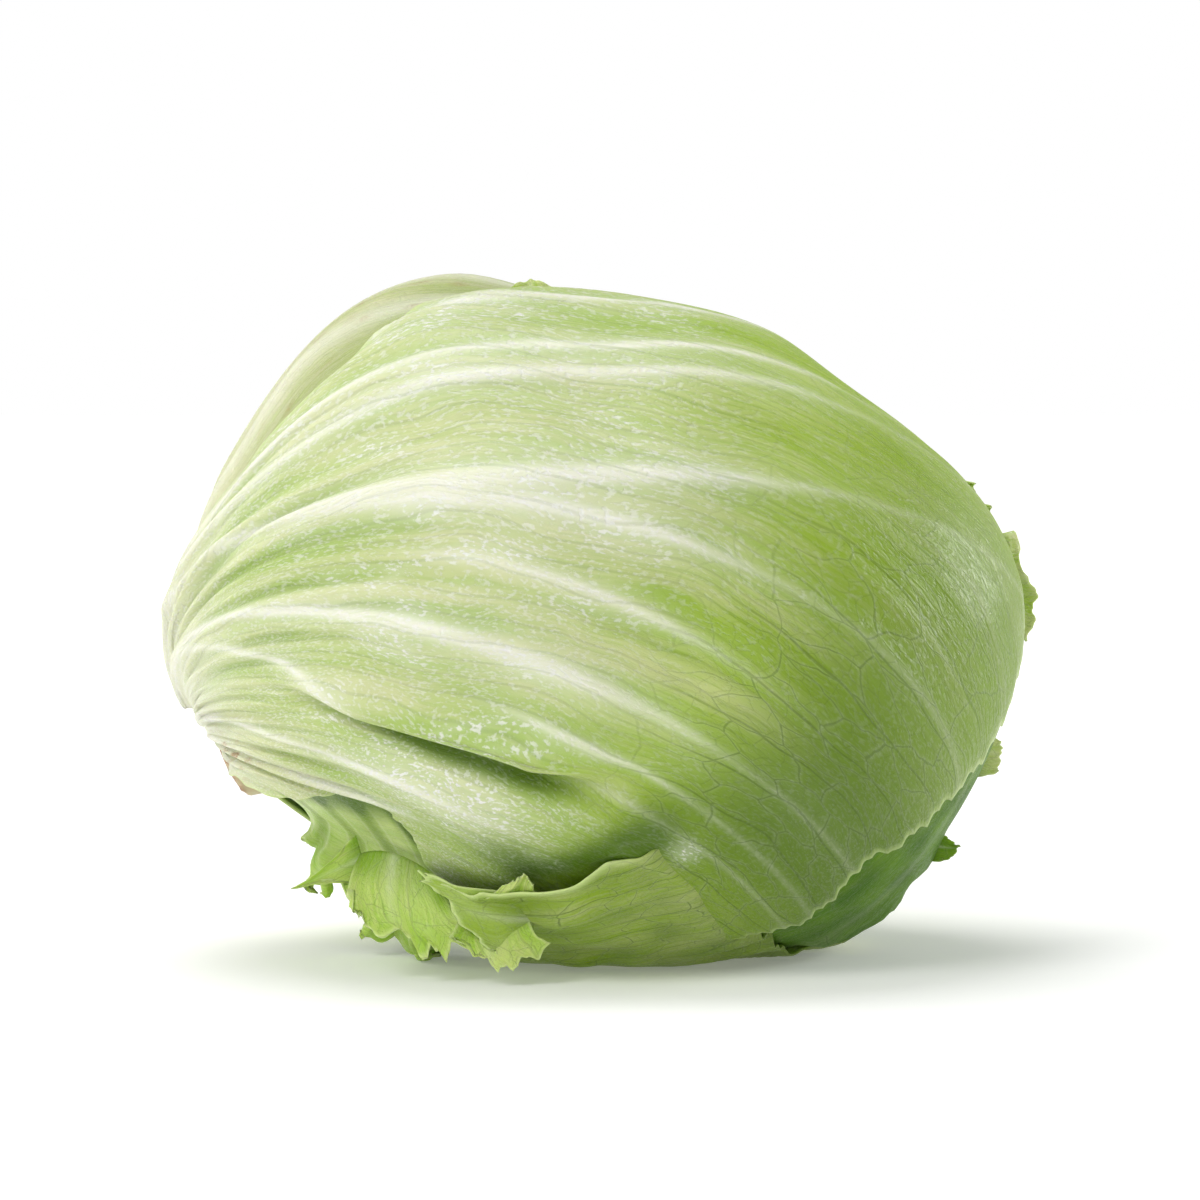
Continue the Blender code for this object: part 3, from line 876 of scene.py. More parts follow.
@dataclass
class FrontLeaf(Leaf):
    """The large leaf of the visible side, with its ribs, the open crease and the raised lower edge."""

    edge_width: float = 0.012
    reach: float = 124.5
    reach_up: float = 119.0
    reach_down: float = 112.0
    start: float = 14.0
    ribs: tuple[Rib, ...] = (
        Rib(-15.5, -17.6, -26.0, 1.1, 0.7 * MM),
        Rib(-12.0, -14.2, -23.5, 1.3, 1.1 * MM),
        Rib(-5.8, -4.7, -15.6, 1.8, 1.2 * MM),
        Rib(-3.6, -2.6, -3.6, 1.2, 0.7 * MM, start=68.0),
        Rib(6.0, 9.2, 10.3, 1.7, 1.1 * MM),
        Rib(11.3, 21.5, 30.0, 1.5, 0.7 * MM, end=68.0),
        Rib(0.6, 2.4, 4.2, 0.7, 0.3 * MM, start=76.0, end=104.0),
        Rib(-20.0, -24.8, -32.5, 1.1, 0.5 * MM),
        Rib(26.0, 28.0, 25.0, 1.4, 0.6 * MM, end=84.0),
        Rib(35.0, 35.5, 31.0, 1.3, 0.5 * MM, end=76.0),
        Rib(12.0, 14.0, 16.0, 0.5, 0.25 * MM, start=86.0),
        Rib(18.0, 18.0, 19.5, 0.5, 0.25 * MM, start=96.0),
    )
    crease_middle: float = 77.0
    crease_azimuth: float = 18.3
    crease_place: float = 0.25
    lip: float = 3.6 * MM
    overhang: float = 2.1
    valley: float = 2.4 * MM
    bulge: float = 3.9 * MM
    raised_edge: float = 3.4 * MM

    def spread(self) -> tuple[Array, Array]:
        """Steps across the leaf that crowd at the crease.

        Returns:
            The places across and along the leaf.
        """
        place = np.linspace(-1.0, 1.0, 2001)
        density = 1.0 + 3.2 * hump(place, self.crease_place + 0.02, 0.07)
        total = np.cumsum(density)
        total = (total - total[0]) / (total[-1] - total[0])
        across = np.interp(np.linspace(0.0, 1.0, self.columns), total, place)
        return np.meshgrid(across, np.linspace(0.0, 1.0, self.rows))

    def crease(self, distance: Array) -> tuple[Array, Array]:
        """Azimuth of the crease, a parabola over the distance, and how far open it is, from 0 to 1."""
        bend = 0.005 * (np.clip(distance, 54.0, 99.0) - self.crease_middle) ** 2
        return self.crease_azimuth - bend, window(distance, 54.0, 70.0, 87.0, 98.0)

    def pleats(self, azimuth: Array, distance: Array) -> tuple[Array, Array]:
        """Broad and fine random pleats, long waves that start a little way from the butt."""
        broad = wander(azimuth / 2.7, distance / 60.0, 11) * ease(distance, 16.0, 30.0)
        return broad, wander(azimuth / 1.5, distance / 40.0, 15) * ease(distance, 18.0, 32.0)

    def place(self, across: Array, along: Array) -> tuple[Array, Array]:
        """Azimuth and distance on the fan.

        The margins wander, the rows crowd at the tip, and one column runs along the crease.

        Args:
            across: Places from -1 at the upper edge to 1 at the lower edge.
            along: Places from 0 at the root to 1 at the tip.

        Returns:
            The azimuth and the distance of each place.
        """
        along = along + 0.3 * along * (1.0 - along)
        rough = wander(along * 9.0, 0.0 * along, 5)
        upper = front_upper_edge(self.start + (self.reach_up - self.start) * along) - 0.5 * rough
        low = self.start + (self.reach_down - self.start) * along
        lower = 46.0 - 9.0 * hump(low, 61.0, 11.0) + 5.0 * ease(low, 70.0, 82.0) + 13.0 * ease(low, 92.0, 104.0)
        lower = lower + 0.5 * wander(along * 11.0, 0.0 * along, 6)
        middle = self.crease(self.start + (self.reach + 1.0 - self.start) * along)[0]
        above = upper + (middle - upper) * (across + 1.0) / (self.crease_place + 1.0)
        below = middle + (lower - middle) * (across - self.crease_place) / (1.0 - self.crease_place)
        azimuth = np.where(across < self.crease_place, above, below)
        reach = self.reach - (self.reach - self.reach_up) * ease(azimuth, -8.0, -26.0)
        reach = reach - (self.reach - self.reach_down) * ease(azimuth, 26.0, 54.0)
        reach = reach + 2.0 * hump(azimuth, 19.0, 4.0) - 2.0 * hump(azimuth, 8.5, 3.0)
        reach = reach + 0.8 * peak(azimuth / 4.6, 1.5) + 0.6 * peak(azimuth / 1.9, 1.5)
        return azimuth, self.start + (reach - self.start) * along

    def relief(self, azimuth: Array, distance: Array) -> Array:
        """Height above the leaf's layer.

        It is the sum of ribs, pleats, waves, lip, bulge and raised edge. Each is a bump or a
        random wave, times the smooth steps that keep it to its place.

        Args:
            azimuth: Azimuth of each place on the fan.
            distance: Distance of each place on the fan.

        Returns:
            The height of each place.
        """
        ribs = 0.0 * azimuth
        for rib in self.ribs:
            cover = rib.cover(azimuth, distance, 1.5) + 0.3 * rib.cover(azimuth, distance, 0.5)
            ribs = ribs + rib.height * cover
        broad, fine = self.pleats(azimuth, distance)
        waves = 0.7 * broad * (1.0 - 0.85 * ease(distance, 52.0, 85.0))
        waves = waves + 0.3 * fine * (1.0 - 0.7 * ease(distance, 60.0, 95.0))
        waves = waves + 0.5 * wander(azimuth / 16.0, distance / 30.0, 12) * ease(distance, 30.0, 60.0)
        waves = waves + 0.16 * wander(azimuth / 4.0, distance / 9.0, 13) * ease(distance, 50.0, 90.0)
        rise = ribs * (1.0 - 0.55 * ease(distance, 70.0, 115.0)) + waves * MM
        crease, is_open = self.crease(distance)
        rise = rise + self.lip * is_open * window(azimuth, crease - 15.0, crease - 1.5, crease - 0.2, crease + 2.2)
        rise = rise * (0.15 + 0.85 * ease(distance, 118.0, 104.0))
        rise = rise + self.bulge * hump(distance, 83.0, 15.0) * hump(azimuth, crease + 9.5, 6.4)
        rise = rise - self.valley * is_open * hump(azimuth, crease + 2.8, 1.4)
        covered = ease(distance, 66.0, 78.0) * ease(azimuth, 37.0, 43.0)
        edge = ease(azimuth, 36.0, 48.0) * window(distance, 22.0, 34.0, 58.0, 70.0)
        return rise * (1.0 - covered) + self.raised_edge * edge

    def surface(self, across: Array, along: Array) -> Surface:
        """The fan's points: the relief, with the lip pushed down over the crease.

        Args:
            across: Places from -1 at the upper edge to 1 at the lower edge.
            along: Places from 0 at the root to 1 at the tip.

        Returns:
            The outer side and its masks.
        """
        azimuth, distance = self.place(across, along)
        crease, is_open = self.crease(distance)
        tucked = 1.1 * ease(across, -0.93, -1.0) * ease(distance, 24.0, 40.0) + 0.5 * ease(along, 0.97, 1.0)
        rise = self.relief(azimuth, distance) - tucked * MM
        moved = azimuth + self.overhang * is_open * hump(azimuth, crease - 0.7, 1.5)
        points = FORM.point(FORM.fan(distance, moved), self.depth() - rise)
        masks = self.masks(azimuth, distance)
        # Painted light: a lighter margin that stands in for light through the thin edge.
        masks["edge"] = 0.7 * self.margin(across, along)
        return Surface(points, azimuth, distance, masks)

    def masks(self, azimuth: Array, distance: Array) -> dict[str, Array]:
        """Paint masks: paler at the butt and on the ribs, greener to the tip and the lower right.

        The strip under the lip and the band at the lower edge are painted shade in dark green, and the swelling below
        the crease is painted paler and frosted as a painted highlight.

        Args:
            azimuth: Azimuth of each place on the fan.
            distance: Distance of each place on the fan.

        Returns:
            The masks, by name.
        """
        crease, is_open = self.crease(distance)
        # Painted shade: a dark green strip in the hollow under the lip of the crease.
        low = crease + 2.8 + 1.7 * ease(distance, 62.0, 80.0)
        groove_shade = 0.9 * is_open * window(azimuth, crease + 0.9, crease + 1.8, low - 0.8, low + 1.2)
        # Painted highlight and frosting: the swelling below the crease is painted paler and whiter.
        highlight_and_frost = hump(distance, 80.0, 12.0) * hump(azimuth, crease + 9.0, 4.2)
        # Painted shade: a dark green band where the leaf tucks in under the turned-up edge of the under leaf.
        band = hump(azimuth, 34.0 - 11.0 * ease(distance, 92.0, 102.0), 5.5)
        band = band * window(distance, 80.0, 93.0, 102.0, 107.0)
        # Painted shade: less rib paint in a thin line along the lip's edge, so that it shows darker.
        lip = -0.6 * is_open * hump(azimuth, crease + 0.6, 0.9)
        rib = self.rib_paint(azimuth, distance) + lip + 0.7 * ease(distance, 54.0, 26.0)
        dried = ease(wander(azimuth / 3.0, distance / 4.0, 25), 0.3, 0.9)
        return {
            "green": self.greenness(azimuth, distance) * (1.0 - 0.6 * highlight_and_frost),
            "deep": groove_shade + band + self.shade(azimuth, distance),
            "rib": rib * (1.0 - groove_shade) * (1.0 - 0.8 * band),
            "net": ease(distance, 86.0, 108.0) * (0.35 + 0.65 * ease(azimuth, -20.0, 8.0)),
            "long": 0.36 * ease(distance, 24.0, 44.0) * (1.0 - 0.5 * ease(distance, 88.0, 108.0)),
            "frost": (self.frosting(azimuth, distance) + 0.9 * highlight_and_frost * (1.0 - groove_shade) * (1.0 - band)) * (1.0 - groove_shade),
            "brown": 0.8 * spot(azimuth, distance, (36.0, 36.0), (7.0, 6.0)) * dried,
        }

    def rib_paint(self, azimuth: Array, distance: Array) -> Array:
        """Paint of the ribs: a narrow bright core and a broad faint halo, which fade to the tip.

        Args:
            azimuth: Azimuth of each place on the fan.
            distance: Distance of each place on the fan.

        Returns:
            The paint of each place.
        """
        narrow = 0.42 * (1.0 - 0.55 * ease(distance, 88.0, 108.0))
        core = 0.9 * (1.0 - 0.8 * ease(distance, 86.0, 106.0))
        halo = 0.3 * (1.0 - 0.9 * ease(distance, 84.0, 108.0)) * (0.45 + 0.55 * ease(distance, 42.0, 66.0))
        paint = 0.0 * azimuth
        for rib in self.ribs:
            paint = paint + core * rib.cover(azimuth, distance, np.maximum(narrow, 0.34 / rib.width))
            paint = paint + halo * rib.cover(azimuth, distance, 1.7)
        return paint

    def greenness(self, azimuth: Array, distance: Array) -> Array:
        """Share of green: it rises from butt to tip, with random streaks, pleats and a few soft spots.

        Args:
            azimuth: Azimuth of each place on the fan.
            distance: Distance of each place on the fan.

        Returns:
            The share of each place.
        """
        crease = self.crease(distance)[0]
        broad, fine = self.pleats(azimuth, distance)
        streak = wander(azimuth / 3.6, distance / 34.0, 21) * ease(distance, 30.0, 70.0)
        near_butt = ease(azimuth, 16.0, 30.0) * ease(distance, 68.0, 54.0)
        green = 0.12 + 0.62 * ease(distance, 46.0, 104.0) + 0.2 * ease(distance, 84.0, 108.0)
        green = green + 0.2 * ease(azimuth, 0.0, 22.0) * ease(distance, 84.0, 112.0)
        green = green + 0.3 * ease(azimuth, -14.0, -20.0) * ease(distance, 62.0, 88.0)
        green = green + 0.28 * ease(azimuth, crease + 1.0, crease + 5.0) * ease(distance, 45.0, 75.0)
        green = green + 0.2 * streak * (1.0 - 0.6 * ease(distance, 95.0, 120.0))
        green = green + 0.1 * wander(azimuth / 12.0, distance / 16.0, 22) + 0.1 * hump(azimuth, 14.0, 4.0)
        green = green - 0.22 * broad * ease(distance, 95.0, 70.0) - 0.14 * fine * ease(distance, 96.0, 66.0)
        green = green + 0.38 * hump(distance, 52.0, 17.0) * (1.0 - 0.8 * near_butt)
        green = green + 0.3 * spot(azimuth, distance, (0.8, 56.0), (4.5, 11.0))
        return green - 0.26 * spot(azimuth, distance, (1.0, 86.0), (6.0, 9.0))

    def shade(self, azimuth: Array, distance: Array) -> Array:
        """Share of deep green and painted shade, towards the tip and less at the lower side.

        Args:
            azimuth: Azimuth of each place on the fan.
            distance: Distance of each place on the fan.

        Returns:
            The share of each place.
        """
        deep = 0.5 * ease(distance, 96.0, 112.0) * ease(azimuth, -30.0, -12.0)
        deep = deep + 0.35 * ease(distance, 94.0, 108.0) * ease(azimuth, -8.0, 8.0)
        low_side = 1.0 - 0.6 * ease(azimuth, 13.0, 28.0)
        return deep * low_side - 0.18 * spot(azimuth, distance, (6.0, 102.0), (4.0, 8.0))

    def frosting(self, azimuth: Array, distance: Array) -> Array:
        """Share of white flecks: a pucker, a soft spot, the half near the butt, and random patches.

        Args:
            azimuth: Azimuth of each place on the fan.
            distance: Distance of each place on the fan.

        Returns:
            The share of each place.
        """
        patches = hump(wander(azimuth / 5.0, distance / 11.0, 24), 1.1, 0.5) * hump(distance, 74.0, 22.0)
        frost = spot(azimuth, distance, (20.6, 106.5), (1.5, 1.5)) + 0.45 * patches
        frost = frost + 0.2 * spot(azimuth, distance, (-5.0, 90.0), (8.0, 9.0))
        return frost + 0.46 * ease(distance, 100.0, 80.0)


@dataclass
class TopLeaf(Leaf):
    """The leaf under the front one, bare at the upper left and along the top."""

    middle: float = -68.0
    reach: float = 170.0
    swelling: float = 2.4 * MM
    ribs: tuple[float, ...] = (-104.0, -92.0, -79.0, -66.0)

    def surface(self, across: Array, along: Array) -> Surface:
        """A sector about the butt that swells where it is bare, with ribs along it.

        Args:
            across: Places from -1 at the upper side to 1 under the front leaf.
            along: Places from 0 at the root to 1 at the tip.

        Returns:
            The outer side and its masks.
        """
        azimuth = self.middle + (62.0 + 28.0 * ease(along, 0.7, 0.9)) * across
        distance = FORM.out_to(self.reach - 3.0 * across**2 + 1.5 * np.sin(across * 9.0), along)
        direction = FORM.polar(distance, azimuth)
        front_distance, front_azimuth = FORM.fan_place(direction)
        bare = ease(front_upper_edge(front_distance) - front_azimuth, 1.5, 8.0)
        bare = bare * window(distance, 20.0, 40.0, 84.0, 100.0) * ease(azimuth, -106.0, -92.0)
        ribs = 0.0 * azimuth
        for place in self.ribs:
            ribs = ribs + hump(azimuth, place + 3.0 * np.sin(distance / 30.0), 2.4)
        rise = self.swelling + (0.5 * ribs + 0.3 * wander(azimuth / 12.0, distance / 30.0, 31)) * MM
        spots = ease(wander(azimuth / 5.0, distance / 5.0, 34), 1.0, 1.5)
        streak = wander(azimuth / 6.0, distance / 40.0, 32)
        masks = {
            "green": 0.22 + 0.45 * ease(distance, 40.0, 110.0) + 0.16 * streak,
            # Painted shade: deep green where the front leaf covers this leaf, up to just past its upper edge.
            "deep": 0.25 * (1.0 - bare) * ease(distance, 30.0, 60.0),
            "rib": 0.7 * ribs,
            "net": 0.3 * ease(distance, 50.0, 80.0),
            "long": 0.2 * ease(distance, 30.0, 50.0),
            "brown": 0.45 * spots * ease(distance, 45.0, 60.0),
        }
        return Surface(FORM.point(direction, self.depth() - rise * bare), azimuth, distance, masks)


@dataclass
class FrilledLeaf(Leaf):
    """The short leaf at the lower left: pleats that open into a jagged frill curled outwards."""

    inner: tuple[float, float] = (12.0, 20.0)
    outer: float = 80.0
    reach: float = 68.0
    swelling: float = 10.5 * MM
    wave: float = 9.0

    def azimuth(self, across: Array, along: Array) -> tuple[Array, Array]:
        """Azimuth of each place, out to rows of teeth of three sizes, and its share of the way there.

        Args:
            across: Places from -1 at the hidden edge to 1 at the frill.
            along: Places from 0 at the root to 1 where it slips under the next leaf.

        Returns:
            The azimuth and the share from the hidden edge to the frill.
        """
        whole = FORM.out_to(self.reach, along)
        teeth = 8.0 * peak(whole / 8.3 + 0.35, 1.4) + 4.0 * peak(whole / 3.4 + 0.2, 1.3) + 1.6 * peak(whole / 1.5, 1.2)
        outer = self.outer - 9.0 * ease(whole, 48.0, 30.0) + teeth * ease(along, 0.06, 0.2)
        outer = outer - 8.0 * ease(along, 0.85, 1.0)
        inner = self.inner[0] + (self.inner[1] - self.inner[0]) * ease(along, 0.1, 0.8)
        share = ((across + 1.0) / 2.0) ** 0.8
        return inner + (outer - inner) * share, share

    def surface(self, across: Array, along: Array) -> Surface:
        """Pleats: sine ruffles of three lengths that grow towards the jagged free edge.

        Args:
            across: Places from -1 at the hidden edge to 1 at the frill.
            along: Places from 0 at the root to 1 where it slips under the next leaf.

        Returns:
            The outer side and its masks.
        """
        azimuth, share = self.azimuth(across, along)
        covered = 64.0 - 0.26 * (azimuth - 49.0)
        distance = FORM.out_to(covered + 4.0, along)
        free = ease(azimuth, 50.0, 84.0) * window(distance, 17.0, 27.0, covered - 11.0, covered - 3.0)
        late = ease(share, 0.62, 1.0) * free
        turn = math.tau * distance
        ruffle = 2.0 * np.sin(turn / self.wave + 0.6 * np.sin(azimuth / 9.0)) * free
        ruffle = ruffle + 1.5 * np.sin(turn / 4.3 + azimuth / 11.0) * late
        ruffle = ruffle + 0.7 * np.sin(turn / 2.1 + azimuth / 6.0) * late**2
        ruffle = ruffle + 0.5 * wander(azimuth / 8.0, distance / 5.0, 41) * free
        rise = self.swelling * free + ruffle * MM
        sideways = 2.2 * np.sin(turn / self.wave + 1.6) + 1.2 * wander(azimuth / 7.0, distance / 4.0, 42)
        points = FORM.point(FORM.polar(distance + sideways * late, azimuth), self.depth() - rise, rest=0.6 * MM)
        points[..., 0] = points[..., 0] - 3.5 * MM * late * ease(distance, 40.0, 22.0)
        crest = 0.5 + 0.5 * np.sin(turn / self.wave)
        # Painted shade: deep green in the hollow under the front leaf's raised margin and in the troughs of the pleats.
        hollow = 25.0 + 20.0 * ease(distance, 48.0, 57.0)
        rays = hump(peak(distance / 4.5 + 0.1 * np.sin(azimuth / 8.0)), 1.0, 0.14)
        shade = ease(azimuth, hollow + 14.0, hollow + 5.0)
        rib = 0.25 * rays * (1.0 - 0.7 * late) + 0.3 * crest * (1.0 - share)
        masks = {
            "green": 0.4 + 0.35 * share + 0.12 * wander(azimuth / 6.0, distance / 6.0, 43),
            "deep": 0.9 * shade + 0.5 * (1.0 - crest) ** 2 * (1.0 - late),
            "rib": rib * (1.0 - 0.85 * shade),
            "net": 0.4,
            # Painted light: a lighter margin for light through the thin edge.
            "edge": self.margin(across, along),
        }
        return Surface(points, azimuth, distance, masks)


@dataclass
class DarkLeaf(Leaf):
    """The dark leaf that shows as a crescent at the lower right."""

    middle: float = 92.0
    reach: float = 171.0
    swelling: float = 2.2 * MM

    def surface(self, across: Array, along: Array) -> Surface:
        """A sector about the butt that swells where it is bare, with small puckers there.

        Args:
            across: Places from -1 at the front to 1 under the back leaf.
            along: Places from 0 at the root to 1 at the tip.

        Returns:
            The outer side and its masks.
        """
        far_side = ease(along, 0.6, 0.85) * ease(across, 0.0, 1.0)
        azimuth = self.middle + (46.0 + 36.0 * far_side) * across
        distance = FORM.out_to(self.reach - 8.0 * across**2 + 1.5 * np.sin(across * 8.0), along)
        direction = FORM.polar(distance, azimuth)
        bare = ease(FORM.fan_place(direction)[0], 134.0, 143.0) * ease(azimuth, 130.0, 118.0)
        lift = FORM.pitch * ease(distance, 70.0, 82.0)
        swelling = self.swelling + 0.5 * MM * wander(azimuth / 6.0, distance / 7.0, 51)
        points = FORM.point(direction, self.depth() - lift - swelling * bare)
        ribs = hump(azimuth, 70.0 + 3.0 * np.sin(distance / 25.0), 1.4)
        ribs = ribs + hump(azimuth, 88.0, 1.6) + hump(azimuth, 106.0, 1.6)
        uneven = wander(azimuth / 8.0, distance / 9.0, 53)
        masks = {
            "green": 0.7 + 0.2 * wander(azimuth / 5.0, distance / 12.0, 52),
            "deep": 0.45 * ease(distance, 70.0, 110.0) + 0.2 * uneven,
            "rib": 0.12 * ribs,
            "net": 0.8,
            # Painted light: a lighter margin for light through the thin edge.
            "edge": 0.6 * self.margin(across, along),
        }
        return Surface(points, azimuth, distance, masks)


@dataclass
class UnderLeaf(Leaf):
    """The leaf that the head lies on, whose edge turns up as a band across the lower front."""

    reach: float = 112.0
    above: FrontLeaf | None = None

    def place(self, across: Array, along: Array) -> tuple[Array, Array]:
        """Azimuth and distance about the butt, with a torn upper edge and a reach that varies.

        Args:
            across: Places from -1 at the turned-up edge to 1 under the back.
            along: Places from 0 at the root to 1 at the tip.

        Returns:
            The azimuth and the distance of each place.
        """
        whole = FORM.out_to(self.reach, along)
        rough = 1.4 * wander(whole / 9.0, 0.0 * whole, 61) + 1.2 * peak(whole / 5.3, 1.6)
        rough = rough * ease(whole, 50.0, 66.0) * (1.0 - 0.85 * ease(whole, 70.0, 78.0))
        near = 104.0 - 60.0 * ease(whole, 46.0, 64.0) - 1.5 * hump(whole, 96.0, 6.0) - rough
        far = 150.0 - 16.0 * ease(along, 0.7, 1.0) ** 2
        azimuth = near + (far - near) * (across + 1.0) / 2.0
        cut = 15.0 - 3.0 * ease(azimuth, 44.0, 56.0) - 2.0 * ease(azimuth, 56.0, 80.0)
        cut = cut - 10.0 * ease(azimuth, 84.0, 100.0) + 12.0 * ease(azimuth, 112.0, 140.0)
        return azimuth, whole - cut * np.clip((along - 0.6) / 0.4, 0.0, 1.0)

    def surface(self, across: Array, along: Array) -> Surface:
        """A sector about the butt whose edge curls away from the head, and lies on the front leaf.

        Args:
            across: Places from -1 at the turned-up edge to 1 under the back.
            along: Places from 0 at the root to 1 at the tip.

        Returns:
            The outer side and its masks.
        """
        azimuth, distance = self.place(across, along)
        left = ease(azimuth, 68.0, 52.0) * window(distance, 54.0, 64.0, 66.0, 84.0)
        direction = FORM.polar(distance - 9.0 * left, azimuth)
        band = ease(azimuth, 82.0, 66.0) * ease(distance, 58.0, 68.0)
        cuff = 2.5 * ease(azimuth, 64.0, 50.0) * ease(distance, 60.0, 70.0)
        curl = 1.3 * ease(across, -0.9, -1.0) * (0.5 + 0.5 * wander(distance / 7.0, 0.0 * distance, 62))
        dents = 0.55 * wander(azimuth / 9.0, distance / 9.0, 63)
        lift = (cuff + (curl * ease(distance, 88.0, 76.0) + dents) * band) * MM - self.depth()
        front_distance, front_azimuth = FORM.fan_place(direction)
        gap = (0.5 - 1.6 * ease(along, 0.93, 1.0)) * MM
        close = self.above.relief(front_azimuth, front_distance) + gap
        snug = ease(distance, 80.0, 92.0) * ease(azimuth, 78.0, 66.0)
        points = FORM.point(direction, -(lift + (close - lift) * snug), rest=0.0)
        turned_up = ease(along, 0.78, 1.0) * window(azimuth, 66.0, 74.0, 96.0, 112.0)
        points[..., 2] = points[..., 2] + 3.2 * MM * turned_up * (0.8 + 0.3 * wander(azimuth / 5.0, along, 66))
        mottle = 0.1 * wander(azimuth / 7.0, distance / 8.0, 67) + 0.3 * turned_up
        streak = wander(azimuth / 9.0, distance / 9.0, 64)
        masks = {
            "green": 0.8 - 0.25 * ease(distance, 82.0, 98.0) + 0.12 * streak,
            "deep": 0.2 + 0.12 * ease(distance, 80.0, 96.0) + mottle,
            "net": 0.35 + 0.65 * band,
            # Painted light: a lighter margin for light through the thin edge.
            "edge": 0.9 * self.margin(across, along) * ease(distance, 94.0, 86.0),
        }
        return Surface(points, azimuth, distance, masks)


@dataclass
class BackLeaf(Leaf):
    """The outer leaf of the far side, with a torn tip that reaches round to the right rim."""

    middle: float = 197.0
    half_width: float = 57.0
    ribs: tuple[float, ...] = (165.9, 181.5, 197.0, 212.5, 228.1)

    def surface(self, across: Array, along: Array) -> Surface:
        """A sector about the butt with branching ribs, shallow swellings and a torn tip.

        Args:
            across: Places from -1 under the head to 1 at the top.
            along: Places from 0 at the root to 1 at the tip.

        Returns:
            The outer side and its masks.
        """
        rough = 1.2 * wander(along * 8.0, 0.0 * along, 71) * np.abs(across) ** 6
        azimuth = self.middle + self.half_width * across + rough
        tears = peak(across * 4.0, 1.4)
        reach = 150.0 - 7.0 * across**2 + 12.0 * hump(across, -0.15, 0.4) + 2.5 * tears + 1.5 * peak(across * 13.0, 1.5)
        distance = FORM.out_to(reach, along)
        ribs = 0.0 * azimuth
        for place in self.ribs:
            bend = (place - self.middle) * 0.12 * ease(distance, 50.0, 130.0)
            ribs = ribs + hump(azimuth, place + bend, 2.6)
        rise = 1.2 * ribs * (1.0 - 0.6 * ease(distance, 40.0, 120.0))
        rise = rise + 0.35 * wander(azimuth / 4.4, distance / 60.0, 72) * window(distance, 16.0, 30.0, 60.0, 95.0)
        rise = rise + 0.45 * wander(azimuth / 16.0, distance / 26.0, 73) * ease(distance, 30.0, 60.0)
        rise = rise - ease(across, 0.93, 1.0) * ease(distance, 30.0, 50.0)
        rise = rise + (1.2 + 2.2 * tears) * ease(along, 0.86, 1.0) * hump(across, -0.2, 0.4)
        points = FORM.point(FORM.polar(distance, azimuth), self.depth() - rise * MM)
        streak = wander(azimuth / 5.0, distance / 34.0, 74)
        dried = ease(wander(azimuth / 5.0, distance / 4.0, 75), 0.6, 1.2)
        masks = {
            "green": 0.1 + 0.62 * ease(distance, 45.0, 110.0) + 0.18 * streak,
            "deep": 0.25 * ease(distance, 90.0, 125.0),
            "rib": 0.85 * ribs * (1.0 - 0.5 * ease(distance, 90.0, 140.0)),
            "net": 0.5 * ease(distance, 60.0, 95.0),
            "brown": 0.6 * dried * hump(distance, 20.0, 8.0),
            # Painted light: a lighter margin for light through the thin edge.
            "edge": 0.7 * self.margin(across, along),
        }
        return Surface(points, azimuth, distance, masks)


@dataclass(frozen=True)
class Flap:
    """A torn or curled bit of leaf: a sheet from a root line to a free edge, both given in mm."""

    name: str
    slot: str
    finish: LeafFinish
    root: tuple
    free: tuple
    taper: float = 0.1
    teeth: float = 4.0
    jag: float = 0.15
    bulge: float = 1.5
    ruffle: float = 0.7
    seed: int = 101
    rows: int = 32
    columns: int = 48
    thickness: float = 0.5 * MM
    place_size: float = 1.3 * MM

    def build(self) -> bpy.types.Object:
        """Builds the bit.

        Straight lines join the two curves; they are bowed outwards, shortened towards the sides by
        the taper, and end in teeth. Sine ruffles grow towards the free edge.

        Returns:
            The new piece.
        """
        across, along = np.meshgrid(np.linspace(0.0, 1.0, self.columns), np.linspace(0.0, 1.0, self.rows))
        root = curve(self.root, across)
        free = curve(self.free, across)
        uneven = (across + 0.09 * np.sin(7.0 * across + self.seed)) * self.teeth
        teeth = peak(uneven + 0.3, 1.4) + 0.4 * peak(uneven * 2.7 + 0.1, 1.3) - 0.6
        reach = 1.0 - self.taper * np.abs(2.0 * across - 1.0) ** 1.2
        reach = reach * (1.0 + self.jag * teeth * ease(along, 0.45, 1.0))
        points = root + (free - root) * (along * reach)[..., None]
        out = points - np.array(FORM.centre)
        out = out / np.linalg.norm(out, axis=-1, keepdims=True)
        wave = np.sin(math.tau * across * 1.6 + self.seed) + 0.6 * wander(across * 3.0, along * 2.0, self.seed)
        rise = self.bulge * 4.0 * along * (1.0 - along) + self.ruffle * wave * along
        points = points + out * (rise * MM)[..., None]
        points[..., 2] = np.maximum(points[..., 2], 1.0 * MM)
        sides = ease(np.abs(across - 0.5), 0.45, 0.5) * ease(along, 0.1, 0.3)
        masks = {
            "green": 0.7 + 0.2 * wander(across * 2.0, along, self.seed + 2) - 0.3 * along,
            # Painted shade: darker towards the root, where the bit joins its leaf.
            "deep": 0.5 * ease(along, 0.45, 0.0),
            "rib": 0.4 * hump(across, 0.45, 0.06) * (1.0 - along),
            "net": 0.5,
            # Painted light: a lighter free edge and sides, for light through the thin bit.
            "edge": np.maximum(ease(along, 0.9, 1.0), sides),
        }
        middle = self.columns // 2
        azimuth = across * np.linalg.norm(root[0, -1] - root[0, 0]) / self.place_size
        distance = along * np.linalg.norm(free[0, middle] - root[0, middle]) / self.place_size
        piece = walled_mesh(self.name, Surface(points, azimuth + self.seed, distance, masks, self.thickness))
        piece.data.materials.append(self.finish.material())
        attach(piece, "root")
        return piece


